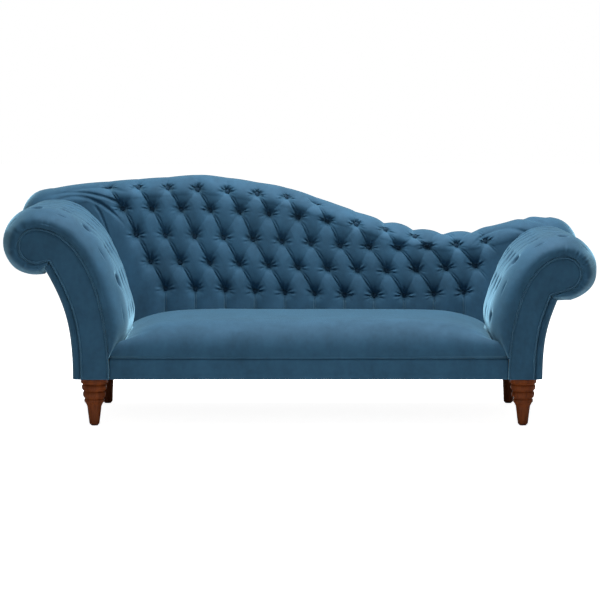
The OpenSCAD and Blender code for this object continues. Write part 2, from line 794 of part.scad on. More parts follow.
// Fullness of the seat's front edge, as the two powers of its curve
seat_roll_power = 2.6;
seat_roll_root = 2.1;
// Fullness of the seat's crown across
seat_crown_power = 9;
function seat_top_z(y) =
    let (t = clamp((y - border_front) / seat_front_roll))
        seat_low + seat_lip + (seat_top - seat_low - seat_lip)
            * pow(1 - pow(1 - t, seat_roll_power), 1 / seat_roll_root);
// Reach of an arm's padding into the seat at a height and depth
function pad_reach(arm, y, z) =
    let (
        t = clamp((round_end - y) / arm_pad_round),
        round_share = sqrt(max(0, 1 - t * t)),
        swell = swell_at(z - seam_z + swell_lead)
    )
        max(clearance, arm_pad_inner * swell * round_share + clearance
            + (y > round_end - arm_pad_round + seat_margin ? lining_thickness + seat_margin : 0));
function seat_side(arm, y, z) = across(arm, -pad_reach(arm, y, z));
function seat_ring(share) =
    let (
        y = mix(border_front, seat_rear, share),
        top = seat_top_z(y),
        edge_top = top - seat_side_drop * smooth(share * 8) - (top - seat_low) * 0.10,
        shares = concat(seat_across_shares, [
            for (i = [len(seat_across_shares) - 2:-1:0]) 1 - seat_across_shares[i]
        ]),
        left_x = seat_side(left_arm, y, edge_top),
        right_x = seat_side(right_arm, y, edge_top),
        crown = [
            for (s = shares)
                let (
                    e = min(s, 1 - s) / 0.5,
                    z = mix(edge_top, top, 1 - pow(1 - e, seat_crown_power))
                )
                    [mix(left_x, right_x, s), z]
        ],
        wall = [
            for (level = [0, 0.5])
                let (z = mix(seat_low, edge_top, level)) z
        ],
        ring = concat(
            [for (z = wall) [seat_side(left_arm, y, z), z]],
            crown,
            [for (z = reversed(wall)) [seat_side(right_arm, y, z), z]]
        )
    )
        [for (p = ring) [p[0], share == 1 ? face_y(p[1]) - clearance : y, p[1]]];
module seat_pad() {
    color("#2f5870") loft([for (share = seat_depth_shares) seat_ring(share)]);
}

// Arm boards, facings and welts, all on the same outline
fine_count = 16;
function arm_outline(arm, steps) = concat(
    inner_points(arm, 0, steps),
    arc_points(arm, steps),
    outer_points(arm, steps)
);
function below_tuck(arm) =
    [for (i = [1:fine_count]) bezier(outer_edge(arm), i / fine_count)];
module front_board(arm) {
    color("#b98d5f") slab(board_front, board_rear)
        polygon(placed(arm, concat([[0, 0]], pad_path(arm), below_tuck(arm))));
}
module facing(arm) {
    outline = arm_outline(arm, fine_count);
    color("#34607a") {
        slab(facing_front + facing_crown, board_front) polygon(placed(arm, outline));
        slab(facing_front, facing_front + facing_crown)
            polygon(placed(arm, shifted(outline, -welt_width)));
    }
}
module facing_welt(arm) {
    outline = arm_outline(arm, fine_count);
    color("#4a7a94") {
        slab(facing_front, facing_front + facing_crown)
            polygon(placed(arm, band(outline, 0, clearance - welt_width)));
        slab(front_y, facing_front)
            polygon(placed(arm, band(outline, -welt_width * 0.2, -welt_width * 0.8)));
    }
}

// Rear board: the arm's outline, carried on upwards to the crest and outwards to the wing
module rear_board(arm) {
    wing = [
        for (k = [-1:wing_spokes])
            let (s = spoke(arm, k)) s[0] + s[1] * (s[2] - cover_on(s[2]) - clearance)
    ];
    last_x = side(arm) < 0 ? row_x(0, 0) : row_x(last_along, 1);
    columns = [
        for (k = [1:shoulder_columns + 1])
            mix(across(arm, reach(arm)), last_x, k / (shoulder_columns + 1))
    ];
    top = [
        for (x = concat([for (x = columns) if (side(arm) * (x - arm[1]) > 0) x], [arm[1]]))
            [x, crest_z(x) - crest_cover - least_step]
    ];
    color("#b98d5f") slab(rear_board_front, rear_plane)
        polygon(concat(
            placed(arm, reversed(below_tuck(arm))),
            wing,
            top,
            [[arm[1], frame_height]]
        ));
}
module scroll_rail(arm) {
    color("#b98d5f")
        translate([across(arm, reach(arm)), rear_board_front, frame_height + rise(arm)])
            rotate([90, 0, 0]) cylinder(r = scroll_rail_radius, h = rear_board_front - board_rear);
}
tack_near = 2 * lining_thickness;
module tack_rail(arm) {
    near = across(arm, tack_near);
    far = across(arm, tack_near + tack_width);
    color("#b98d5f") slab(board_rear, rear_board_front)
        polygon([
            [near, rail_top], [far, rail_top],
            [far, rail_top + tack_height], [near, rail_top + tack_height]
        ]);
}
module lining(arm) {
    color("#c9b48a") slab(board_front, rear_board_front)
        polygon(placed(arm, concat(
            pad_path(arm),
            reversed(shifted_on(pad_path(arm), under_tuck(arm), lining_thickness))
        )));
}

// Outside arm: a curved panel with its front corner rounded back to the front board
corner_shares = [0.35, 0.7, 0.92, 1];
outside_top_share = 0.008;
function outside_path(arm) = [
    for (i = [0:outside_steps])
        bezier(outer_edge(arm), mix(outside_top_share, 1, i / outside_steps))
];
function outside_shifted(arm, d) = shifted_from(arc_last(arm), outside_path(arm), d);
function outside_ring(arm, y, near, far) =
    let (ring = concat(outside_shifted(arm, near), reversed(outside_shifted(arm, far))))
        [for (p = placed(arm, ring)) [p[0], y, p[1]]];
outside_front = board_front + corner_gap;
module outside_arm(arm) {
    corner = [
        for (share = corner_shares)
            outside_ring(arm,
                outside_front + outside_corner * (1 - sqrt(1 - share * share)),
                clearance, outside_gap - outside_corner * (1 - share))
    ];
    inner = outside_gap - outside_thickness;
    shell = [
        outside_ring(arm, board_rear + outside_thickness, clearance, outside_gap),
        outside_ring(arm, board_rear + 2 * outside_thickness, inner, outside_gap),
        outside_ring(arm, rear_plane, inner, outside_gap)
    ];
    color("#28495c") loft(reversed(concat(corner, shell)), side(arm) < 0);
}

// Outside back: one flat panel from the frame's underside up under the crest roll
module outside_back() {
    function tucks(arm) =
        [for (k = [-1:wing_spokes]) let (s = spoke(arm, k)) s[0] + s[1] * (s[2] - tuck_on(s[2]))];
    tops = [
        for (k = [0:2 * last_along])
            let (x = mix(left_centre_x, right_centre_x, k / (2 * last_along)))
                [x, crest_z(x) - rear_tuck_depth - clearance]
    ];
    color("#28495c") slab(rear_plane, rear_plane + outside_back_thickness)
        polygon(concat(
            placed(left_arm, reversed(outside_shifted(left_arm, outside_gap))),
            tucks(left_arm),
            [for (p = tops) if (p[0] > left_centre_x + radius(left_arm) * 0.2
                && p[0] < right_centre_x - radius(right_arm) * 0.2) p],
            reversed(tucks(right_arm)),
            placed(right_arm, outside_shifted(right_arm, outside_gap))
        ));
}

// Seat frame
module rail(from_x, to_x, from_y, to_y, low, high) {
    color("#b98d5f") translate([min(from_x, to_x), from_y, low])
        cube([abs(to_x - from_x), to_y - from_y, high - low]);
}
module front_seat_rail() {
    rail(left_edge, right_edge, front_rail_front, front_rail_rear, frame_height, rail_top);
}
module rear_seat_rail() {
    rail(left_edge, right_edge, rear_rail_front, rear_plane, frame_height, rail_top);
}
module side_seat_rail(arm) {
    rail(across(arm, side_rail_near), across(arm, block_near), board_rear, rear_board_front,
        frame_height, rail_top);
}
cross_place_share = 1 / 6;
module cross_rail(way) {
    middle = seat_middle + way * seat_width * cross_place_share;
    rail(middle - cross_width / 2, middle + cross_width / 2, front_rail_rear, rear_rail_front,
        frame_height, rail_top - cross_drop);
}
module corner_block(arm, from_y, leg_y) {
    color("#a87c50") difference() {
        translate([
            min(across(arm, block_near), across(arm, block_near + block_width(arm))),
            from_y, frame_height
        ])
            cube([block_width(arm), block_length, block_height]);
        translate([across(arm, leg_offset), leg_y, frame_height - overrun])
            cylinder(d = bolt_diameter + 2 * bolt_clearance, h = block_height + 2 * overrun,
                $fn = round_steps);
    }
}

// Front border and dust cover
border_bulge_shares = [0, 0.6, 0.9, 1, 1, 0.9, 0.6, 0];
module front_border() {
    last = len(border_bulge_shares) - 1;
    front = [
        for (i = [0:last])
            [
                front_rail_front - border_thickness * (0.6 + 0.4 * border_bulge_shares[i]),
                mix(frame_height, seam_z, i / last)
            ]
    ];
    color("#2f5870") bar(left_edge + clearance, right_edge - clearance)
        polygon(concat([[front_rail_front, frame_height]], front, [[front_rail_front, seam_z]]));
}
module dust_cover() {
    color("#26292c")
        translate([left_edge, front_rail_front, frame_height - dust_cover_thickness])
            cube([seat_width, rear_plane - front_rail_front, dust_cover_thickness]);
}

// Zigzag springs, clipped to the front and rear rails
spring_bend_shares = [0, 0.55, 0.9, 1, 0.9, 0.55];
spring_from = front_rail_front + rail_thickness / 2;
spring_to = rear_rail_front + rail_thickness / 2;
spring_loops = 2 * floor((spring_to - spring_from) / (2 * spring_pitch));
function spring_x(k) = left_edge + seat_width * (k + 0.5) / spring_count;
function spring_path(k) =
    let (n = len(spring_bend_shares), count = spring_loops * n)
        [
            for (i = [0:count])
                let (
                    loop = floor(i / n),
                    bend = i == count ? 0 : spring_bend_shares[i % n],
                    turn = loop % 2 == 0 ? 1 : -1
                )
                    [
                        spring_x(k) + turn * bend * (spring_width - spring_wire) / 2,
                        mix(spring_from, spring_to, i / count)
                    ]
        ];
module seat_springs() {
    color("#8d9296")
        for (k = [0:spring_count - 1])
            translate([0, 0, rail_top]) linear_extrude(spring_wire)
                polygon(band(spring_path(k), -spring_wire / 2, spring_wire / 2));
}
module spring_clips() {
    color("#6f7478")
        for (k = [0:spring_count - 1], y = [spring_from, spring_to])
            translate([spring_x(k) - clip_length / 2, y - clip_width / 2, rail_top + spring_wire])
                cube([clip_length, clip_width, seam_z - rail_top - spring_wire]);
}
tie_places_shares = [0.34, 0.66];
module spring_tie_wires() {
    color("#8d9296")
        for (share = tie_places_shares)
            translate([
                left_edge, mix(spring_from, spring_to, share), rail_top + spring_wire + tie_radius
            ])
                rotate([0, 90, 0]) cylinder(r = tie_radius, h = seat_width, $fn = 16);
}
tie_radius = (seam_z - rail_top - spring_wire) / 2;
// Room that an arm's lining takes beside the seat
lining_room = lining_thickness + clearance;
hessian_room = lining_room + least_step + clearance;
module seat_hessian() {
    color("#b79f72")
        translate([left_edge + hessian_room, front_rail_front, seam_z])
            cube([seat_width - 2 * hessian_room, webbing_y(seam_z) - front_rail_front,
                hessian_thickness]);
}

// Back frame: raked posts on the rear rail, with a tack rail let into their front edges
tack_low = seam_z + tack_rise;
tack_high = tack_low + tack_height;
post_face = strap_thickness;
module post(from_x, to_x) {
    top = min(crest_z(from_x), crest_z(to_x)) - crest_cover - clearance - crest_rail_height;
    color("#b98d5f") bar(from_x, to_x)
        polygon([
            [rear_plane, rail_top],
            [rear_rail_front, rail_top],
            [webbing_y(tack_low) + post_face + tack_width, tack_low],
            [webbing_y(tack_low) + post_face + tack_width, tack_high],
            [webbing_y(tack_high) + post_face, tack_high],
            [webbing_y(top) + post_face, top],
            [rear_plane, top]
        ]);
}
module end_post(arm) {
    near = across(arm, -lining_room);
    far = across(arm, -lining_room - post_width);
    post(min(near, far), max(near, far));
}
module middle_post(way) {
    middle = seat_middle + way * seat_width * cross_place_share;
    post(middle - post_width / 2, middle + post_width / 2);
}
module back_tack_rail() {
    color("#b98d5f") bar(left_edge, right_edge)
        polygon([
            [webbing_y(tack_low) + post_face, tack_low],
            [webbing_y(tack_low) + post_face + tack_width, tack_low],
            [webbing_y(tack_low) + post_face + tack_width, tack_high],
            [webbing_y(tack_high) + post_face, tack_high]
        ]);
}
module back_webbing() {
    color("#9c8259")
        for (k = [0:strap_count - 1]) {
            middle = left_edge + seat_width * (k + 0.5) / strap_count;
            low = tack_low;
            high = min(crest_z(middle - strap_width / 2), crest_z(middle + strap_width / 2))
                - crest_cover - crest_rail_height / 2;
            bar(middle - strap_width / 2, middle + strap_width / 2)
                polygon([
                    [webbing_y(low), low],
                    [webbing_y(low) + strap_thickness, low],
                    [webbing_y(high) + strap_thickness, high],
                    [webbing_y(high), high]
                ]);
        }
}

// Legs. The front legs' turning is three rings under a collar and a long taper;
// each ring is [radius share of the collar, drop share of the leg's height].
turning_shares = [
    [0.96, 0], [1, 0.02], [1, 0.085], [0.95, 0.10], [0.86, 0.115],
    [0.86, 0.13], [0.92, 0.15], [0.93, 0.20], [0.88, 0.24], [0.78, 0.265],
    [0.78, 0.28], [0.84, 0.30], [0.85, 0.35], [0.80, 0.40], [0.70, 0.425],
    [0.70, 0.44], [0.75, 0.46], [0.74, 0.50], [0.62, 0.545], [0.53, 0.60]
];
function leg_y(back) = back ? rear_leg_y : front_leg_y;
module leg_bore(high) {
    translate([0, 0, high - bolt_bite])
        cylinder(d = bolt_diameter + 2 * bolt_clearance, h = bolt_bite + overrun, $fn = round_steps);
}
module front_leg(arm) {
    high = frame_height - glide_height;
    color("#6b3a1c")
        translate([across(arm, leg_offset), front_leg_y, glide_height])
            difference() {
                rotate_extrude($fn = round_steps)
                    polygon(concat(
                        [[0, high]],
                        [for (p = turning_shares) [p[0] * collar_radius, high * (1 - p[1])]],
                        [
                            [front_foot_radius, foot_round],
                            [front_foot_radius - foot_round, 0],
                            [0, 0]
                        ]
                    ));
                leg_bore(high);
            }
}
flare_height_share = 0.22;
module rear_leg(arm) {
    high = frame_height - glide_height;
    shank = high * (1 - flare_height_share);
    color("#6b3a1c")
        translate([across(arm, leg_offset), rear_leg_y, glide_height])
            difference() {
                rotate_extrude($fn = round_steps)
                    polygon([
                        [0, high], [rear_leg_top / 2, high],
                        [rear_leg_top / 2, high - bolt_diameter],
                        [mix(rear_leg_shank, rear_leg_top, 0.3) / 2, mix(shank, high, 0.5)],
                        [rear_leg_shank / 2, shank],
                        [rear_leg_foot / 2, foot_round],
                        [rear_leg_foot / 2 - foot_round, 0],
                        [0, 0]
                    ]);
                leg_bore(high);
            }
}
module at_legs() {
    for (arm = [left_arm, right_arm], y = [front_leg_y, rear_leg_y])
        translate([across(arm, leg_offset), y, 0]) children();
}
module leg_bolts() {
    color("#7d8286") at_legs()
        translate([0, 0, frame_height - bolt_bite])
            cylinder(d = bolt_diameter, h = bolt_bite + block_height + nut_height + bolt_end,
                $fn = round_steps);
}
module leg_tee_nuts() {
    color("#7d8286") at_legs()
        translate([0, 0, frame_height + block_height]) difference() {
            cylinder(r = nut_radius, h = nut_height, $fn = round_steps);
            translate([0, 0, -overrun])
                cylinder(d = bolt_diameter + 2 * bolt_clearance, h = nut_height + 2 * overrun,
                    $fn = round_steps);
        }
}
module leg_glides() {
    color("#3a3d40") at_legs() cylinder(r = glide_radius, h = glide_height, $fn = round_steps);
}

module left_front_leg() { front_leg(left_arm); }
module right_front_leg() { front_leg(right_arm); }
module left_rear_leg() { rear_leg(left_arm); }
module right_rear_leg() { rear_leg(right_arm); }
module left_seat_rail() { side_seat_rail(left_arm); }
module right_seat_rail() { side_seat_rail(right_arm); }
module left_cross_rail() { cross_rail(-1); }
module right_cross_rail() { cross_rail(1); }
module left_front_block() { corner_block(left_arm, board_rear, front_leg_y); }
module right_front_block() { corner_block(right_arm, board_rear, front_leg_y); }
module left_rear_block() { corner_block(left_arm, rear_board_front - block_length, rear_leg_y); }
module right_rear_block() { corner_block(right_arm, rear_board_front - block_length, rear_leg_y); }
module left_front_board() { front_board(left_arm); }
module right_front_board() { front_board(right_arm); }
module left_rear_board() { rear_board(left_arm); }
module right_rear_board() { rear_board(right_arm); }
module left_scroll_rail() { scroll_rail(left_arm); }
module right_scroll_rail() { scroll_rail(right_arm); }
module left_tack_rail() { tack_rail(left_arm); }
module right_tack_rail() { tack_rail(right_arm); }
module left_lining() { lining(left_arm); }
module right_lining() { lining(right_arm); }
module left_arm_pad() { color("#2f5870") arm_pad(left_arm); }
module right_arm_pad() { color("#2f5870") arm_pad(right_arm); }
module left_facing() { facing(left_arm); }
module right_facing() { facing(right_arm); }
module left_facing_welt() { facing_welt(left_arm); }
module right_facing_welt() { facing_welt(right_arm); }
module left_outside_arm() { outside_arm(left_arm); }
module right_outside_arm() { outside_arm(right_arm); }
module left_arm_buttons() { color("#2b5168") arm_buttons(left_arm); }
module right_arm_buttons() { color("#2b5168") arm_buttons(right_arm); }
module left_end_post() { end_post(left_arm); }
module right_end_post() { end_post(right_arm); }
module left_middle_post() { middle_post(-1); }
module right_middle_post() { middle_post(1); }
module back_pad() { color("#2f5870") loft(reversed(back_rings)); }

left_front_leg();
right_front_leg();
left_rear_leg();
right_rear_leg();
leg_bolts();
leg_tee_nuts();
leg_glides();
front_seat_rail();
rear_seat_rail();
left_seat_rail();
right_seat_rail();
left_cross_rail();
right_cross_rail();
left_front_block();
right_front_block();
left_rear_block();
right_rear_block();
seat_springs();
spring_clips();
spring_tie_wires();
seat_hessian();
seat_pad();
front_border();
dust_cover();
left_front_board();
right_front_board();
left_rear_board();
right_rear_board();
left_scroll_rail();
right_scroll_rail();
left_tack_rail();
right_tack_rail();
left_lining();
right_lining();
left_arm_pad();
right_arm_pad();
left_facing();
right_facing();
left_facing_welt();
right_facing_welt();
left_outside_arm();
right_outside_arm();
left_arm_buttons();
right_arm_buttons();
crest_rail();
back_tack_rail();
left_end_post();
right_end_post();
left_middle_post();
right_middle_post();
back_webbing();
back_pad();
back_buttons();
outside_back();
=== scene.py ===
"""Fainting couch: a deep-buttoned serpentine back between two scroll arms, dressed in velvet.

Metres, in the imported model's frame: the floor is z = 0, the seat faces -Y, the high arm is at -X.
"""
import json
import logging
import math
from dataclasses import dataclass, field
from enum import Enum
from typing import Any, Optional, Sequence, Union

import bmesh
import bpy
import numpy as np
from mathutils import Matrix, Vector


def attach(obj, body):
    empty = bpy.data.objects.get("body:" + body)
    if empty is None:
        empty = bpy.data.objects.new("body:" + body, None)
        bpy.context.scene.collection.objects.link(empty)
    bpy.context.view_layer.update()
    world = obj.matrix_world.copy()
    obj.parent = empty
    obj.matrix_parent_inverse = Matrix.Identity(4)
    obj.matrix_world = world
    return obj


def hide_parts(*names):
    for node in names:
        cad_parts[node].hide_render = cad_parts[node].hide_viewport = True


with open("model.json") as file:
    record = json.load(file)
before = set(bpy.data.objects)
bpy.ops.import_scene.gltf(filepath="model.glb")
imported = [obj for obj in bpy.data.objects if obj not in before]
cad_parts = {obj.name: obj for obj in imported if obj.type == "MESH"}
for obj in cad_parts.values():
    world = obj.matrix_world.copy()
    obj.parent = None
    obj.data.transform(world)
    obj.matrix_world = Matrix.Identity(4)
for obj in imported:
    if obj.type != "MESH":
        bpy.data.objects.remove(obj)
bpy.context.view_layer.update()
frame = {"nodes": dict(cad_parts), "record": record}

LOG = logging.getLogger("couch")
TINY = 1e-12
WELD = 1e-6

Array = np.ndarray
Values = Union[float, np.ndarray]
Colour = tuple[float, float, float]
Socket = bpy.types.NodeSocket


# Plain sums on arrays

def mix(a: Values, b: Values, t: Values) -> Values:
    """Straight blend: a + (b - a) t."""
    return a + (b - a) * t


def smooth(t: Values) -> Array:
    """Soft step from nought to one: t t (3 - 2 t), with t held between nought and one."""
    t = np.clip(t, 0.0, 1.0)
    return t * t * (3.0 - 2.0 * t)


def bell(d: Values, width: Values) -> Array:
    """Bell curve: e to the minus (d / width) squared."""
    return np.exp(-np.square(d / width))


def grid(x: Values, y: Values, z: Values) -> Array:
    """Points from their three coordinates, each spread over the shape of the others."""
    return np.stack(np.broadcast_arrays(x, y, z), axis=-1)


def bezier(corners: Sequence[Sequence[float]], t: Values) -> Array:
    """Cubic curve through four control points.

    The point at t is (1-t)^3 a + 3 t (1-t)^2 b + 3 t^2 (1-t) c + t^3 d.

    Args:
        corners: The four control points a, b, c, d.
        t: Places along the curve, from nought to one.

    Returns:
        One point per place, in the last axis.
    """
    a, b, c, d = (np.asarray(p, dtype=float) for p in corners)
    t = np.asarray(t, dtype=float)[..., None]
    u = 1.0 - t
    return u ** 3 * a + 3 * t * u ** 2 * b + 3 * t * t * u * c + t ** 3 * d


def noise(u: Values, v: Values, seed: int) -> Array:
    """Smooth random field between -1 and 1.

    Random values stand at whole (u, v), and the soft step blends the four round a point.

    Args:
        u: First coordinate.
        v: Second coordinate.
        seed: Seed of the random values.

    Returns:
        The field at each (u, v).
    """
    size = 64
    table = np.random.default_rng(seed).uniform(-1.0, 1.0, (size, size))
    u, v = np.broadcast_arrays(np.asarray(u, dtype=float), np.asarray(v, dtype=float))
    i, j = np.floor(u).astype(int), np.floor(v).astype(int)
    s, t = smooth(u - i), smooth(v - j)
    low = mix(table[i % size, j % size], table[(i + 1) % size, j % size], s)
    high = mix(table[i % size, (j + 1) % size], table[(i + 1) % size, (j + 1) % size], s)
    return mix(low, high, t)


def lengths(path: Array) -> Array:
    """Length run along a path, or along each path of a grid, up to each of its points."""
    steps = np.linalg.norm(np.diff(path, axis=0), axis=-1)
    return np.concatenate([np.zeros_like(steps[:1]), np.cumsum(steps, axis=0)])


def evenly(path: Array, count: int) -> Array:
    """The same path with its points at equal lengths.

    Args:
        path: Points of the path.
        count: Number of points wanted.

    Returns:
        The evenly spaced points.
    """
    run = lengths(path)
    wanted = np.linspace(0.0, run[-1], count)
    return np.stack([np.interp(wanted, run, path[:, k]) for k in range(path.shape[1])], axis=1)


def path_normals(path: Array) -> Array:
    """Unit normals to the left of a flat path: the tangent (p, q) turned to (-q, p).

    Args:
        path: Points of the path.

    Returns:
        One normal per point.
    """
    tangent = np.gradient(path, axis=0)
    tangent /= np.linalg.norm(tangent, axis=1, keepdims=True) + TINY
    return np.stack([-tangent[:, 1], tangent[:, 0]], axis=1)


def mitre(before: Array, corner: Array, after: Array) -> Array:
    """Offset at a corner for a band of width one: (n + m) / (1 + n.m), with the edges' normals.

    Args:
        before: Point before the corner.
        corner: The corner.
        after: Point after it.

    Returns:
        The offset at the corner.
    """
    first, second = corner - before, after - corner
    n = np.array([-first[1], first[0]]) / np.linalg.norm(first)
    m = np.array([-second[1], second[0]]) / np.linalg.norm(second)
    return (n + m) / (1 + n @ m)


def grid_normals(points: Array) -> Array:
    """Unit normals of a grid: the cross product of its two directions of travel."""
    normal = np.cross(np.gradient(points, axis=0), np.gradient(points, axis=1))
    return normal / (np.linalg.norm(normal, axis=2, keepdims=True) + TINY)


# Meshes

class Cap(Enum):
    """How the two ends of a loft are closed."""
    FAN = "fan"        # triangles to the middle of the ring
    STRIP = "strip"    # quads between the ring's two facing sides


@dataclass
class Surface:
    """Vertices and faces gathered for one piece."""
    points: list[Array] = field(default_factory=list)
    quads: list[Array] = field(default_factory=list)
    triangles: list[Array] = field(default_factory=list)
    count: int = 0

    def loft(self, rings: Array, cap: Cap = Cap.FAN) -> "Surface":
        """Adds a solid carried through closed rings.

        Corner (u, v) joins (u+1, v), (u+1, v+1) and (u, v+1), wrapped in v.
        A negative volume turns every face round, so that the faces point outwards.

        Args:
            rings: Points as (ring, place on the ring, 3).
            cap: How the ends are closed.

        Returns:
            This surface.
        """
        rows, size = rings.shape[:2]
        index = np.arange(rows * size).reshape(rows, size)
        after = np.roll(index, -1, axis=1)
        quads = np.stack([index[:-1], index[1:], after[1:], after[:-1]], axis=2).reshape(-1, 4)
        points = rings.reshape(-1, 3)
        triangles = np.empty((0, 3), dtype=int)
        if cap is Cap.FAN:
            middles = np.stack([rings[0].mean(axis=0), rings[-1].mean(axis=0)])
            first, last = len(points), len(points) + 1
            points = np.concatenate([points, middles])
            triangles = np.concatenate([
                np.stack([index[0], after[0], np.full(size, first)], axis=1),
                np.stack([after[-1], index[-1], np.full(size, last)], axis=1),
            ])
        else:
            half = size // 2
            near, far = np.arange(half - 1), size - 1 - np.arange(half - 1)
            start = np.stack([index[0][near], index[0][near + 1], index[0][far - 1], index[0][far]], 1)
            end = np.stack([index[-1][far], index[-1][far - 1], index[-1][near + 1], index[-1][near]], 1)
            quads = np.concatenate([quads, start, end])
        fans = np.concatenate([quads[:, [0, 1, 2]], quads[:, [0, 2, 3]], triangles])
        a, b, c = (points[fans[:, k]] for k in range(3))
        if np.einsum("ij,ij->", a, np.cross(b, c)) < 0:
            quads, triangles = quads[:, ::-1], triangles[:, ::-1]
        self.points.append(points)
        self.quads.append(quads + self.count)
        self.triangles.append(triangles + self.count)
        self.count += len(points)
        return self

    def piece(self, name: str, weld: float = 0.0) -> bpy.types.Object:
        """Makes the object.

        Args:
            name: Name of the piece.
            weld: Points closer than this are made one, or nought to leave them.

        Returns:
            The object, at the origin, with smooth faces.
        """
        points = np.concatenate(self.points)
        quads, triangles = np.concatenate(self.quads), np.concatenate(self.triangles)
        corners = np.concatenate([quads.ravel(), triangles.ravel()]).astype(np.int32)
        totals = np.concatenate([np.full(len(quads), 4), np.full(len(triangles), 3)]).astype(np.int32)
        starts = np.concatenate([[0], np.cumsum(totals)[:-1]]).astype(np.int32)
        mesh = bpy.data.meshes.new(name)
        mesh.vertices.add(len(points))
        mesh.vertices.foreach_set("co", points.astype(np.float32).ravel())
        mesh.loops.add(len(corners))
        mesh.loops.foreach_set("vertex_index", corners)
        mesh.polygons.add(len(totals))
        mesh.polygons.foreach_set("loop_start", starts)
        mesh.polygons.foreach_set("loop_total", totals)
        mesh.polygons.foreach_set("use_smooth", np.ones(len(totals), dtype=bool))
        mesh.update(calc_edges=True)
        mesh.validate()
        made = bpy.data.objects.new(name, mesh)
        bpy.context.scene.collection.objects.link(made)
        if weld:
            shape = bmesh.new()
            shape.from_mesh(mesh)
            bmesh.ops.remove_doubles(shape, verts=shape.verts, dist=weld)
            bmesh.ops.dissolve_degenerate(shape, edges=shape.edges, dist=weld)
            bmesh.ops.recalc_face_normals(shape, faces=shape.faces)
            shape.to_mesh(mesh)
            shape.free()
            mesh.polygons.foreach_set("use_smooth", np.ones(len(mesh.polygons), dtype=bool))
        return made


def tube(centres: Array, radius: float, sides: int) -> Array:
    """Rings of a round cord along a path.

    Each ring is the centre plus the radius times (cos angle) across + (sin angle) up, where
    across and up are square to the path and to each other.

    Args:
        centres: Points of the cord's middle line.
        radius: Radius of the cord.
        sides: Points on each ring.

    Returns:
        The rings, as (centre, side, 3).
    """
    along = np.gradient(centres, axis=0)
    along /= np.linalg.norm(along, axis=1, keepdims=True)
    up = np.array([0.0, 1.0, 0.0])
    across = np.cross(along, up)
    across /= np.linalg.norm(across, axis=1, keepdims=True)
    lift = np.cross(across, along)
    angle = np.linspace(0.0, 2 * math.pi, sides, endpoint=False)
    return (centres[:, None] + radius * (np.cos(angle)[None, :, None] * across[:, None]
                                         + np.sin(angle)[None, :, None] * lift[:, None]))


# Finishes

class Shader:
    """A material with one Principled shader, and short ways to add nodes to it."""

    def __init__(self, name: str) -> None:
        """Makes the empty material.

        Args:
            name: Name of the material.
        """
        self.material = bpy.data.materials.new(name)
        self.material.use_nodes = True
        self.tree = self.material.node_tree
        self.surface = self.tree.nodes["Principled BSDF"]
        self.place = self.node("ShaderNodeTexCoord").outputs["Object"]

    def node(self, kind: str, **values: Any) -> bpy.types.Node:
        """Adds a node and sets its values, by socket name or by attribute.

        Args:
            kind: Blender's name of the node's kind.
            **values: Its values.

        Returns:
            The node.
        """
        made = self.tree.nodes.new(kind)
        for key, value in values.items():
            name = key.replace("_", " ").title()
            if name in made.inputs:
                self.feed(made.inputs[name], value)
            else:
                setattr(made, key, value)
        return made

    def feed(self, socket: Socket, value: Any) -> None:
        """Links an output to a socket, or sets the socket's own value."""
        if isinstance(value, Socket):
            self.tree.links.new(value, socket)
        else:
            socket.default_value = value

    def spread(self, scale: Sequence[float]) -> Socket:
        """Object coordinates times a scale along each axis."""
        return self.node("ShaderNodeMapping", vector=self.place, scale=scale).outputs[0]

    def speckle(self, place: Socket, scale: float, detail: float = 2.0, roughness: float = 0.5,
                distortion: float = 0.0) -> Socket:
        """Noise from nought to one.

        Args:
            place: Coordinates that it reads.
            scale: Cells to the metre.
            detail: Octaves.
            roughness: Strength of the finer octaves.
            distortion: Swirl.

        Returns:
            The socket that carries the noise.
        """
        return self.node("ShaderNodeTexNoise", vector=place, scale=scale, detail=detail,
                         roughness=roughness, distortion=distortion).outputs["Fac"]

    def between(self, value: Socket, low: float, high: float, to_low: float,
                to_high: float) -> Socket:
        """Carries a value from one range to another, held at its ends.

        Args:
            value: Socket that carries the value.
            low: Start of its range.
            high: End of its range.
            to_low: Start of the new range.
            to_high: End of the new range.

        Returns:
            The socket that carries the new value.
        """
        made = self.node("ShaderNodeMapRange", value=value)
        for name, number in (("From Min", low), ("From Max", high), ("To Min", to_low),
                             ("To Max", to_high)):
            made.inputs[name].default_value = number
        return made.outputs[0]

    def blend(self, factor: Socket, first: Colour, second: Colour) -> Socket:
        """Colour between two, by a factor.

        Args:
            factor: Socket that carries the factor.
            first: Colour at nought.
            second: Colour at one.

        Returns:
            The socket that carries the colour.
        """
        made = self.node("ShaderNodeMix", data_type="RGBA")
        self.feed(made.inputs["Factor"], factor)
        made.inputs[6].default_value = (*first, 1.0)
        made.inputs[7].default_value = (*second, 1.0)
        return made.outputs[2]

    def sum(self, operation: str, first: Any, second: Any) -> Socket:
        """Sum of one kind on two values.

        Args:
            operation: Kind of the sum, such as ADD.
            first: A socket or a number.
            second: Another.

        Returns:
            The socket that carries the result.
        """
        made = self.node("ShaderNodeMath", operation=operation)
        self.feed(made.inputs[0], first)
        self.feed(made.inputs[1], second)
        return made.outputs[0]

    def relief(self, height: Socket, depth: float, strength: float) -> None:
        """Puts a bump of a depth in metres on the shader."""
        made = self.node("ShaderNodeBump", height=height, strength=strength, distance=depth)
        self.feed(self.surface.inputs["Normal"], made.outputs[0])

    def set(self, **values: Any) -> None:
        """Sets values on the shader's own sockets, by name."""
        for key, value in values.items():
            self.feed(self.surface.inputs[key.replace("_", " ")], value)


def shade(colour: Colour, share: float) -> Colour:
    """The same colour, lighter or darker: each part times the share, held at one."""
    return tuple(min(1.0, part * share) for part in colour)


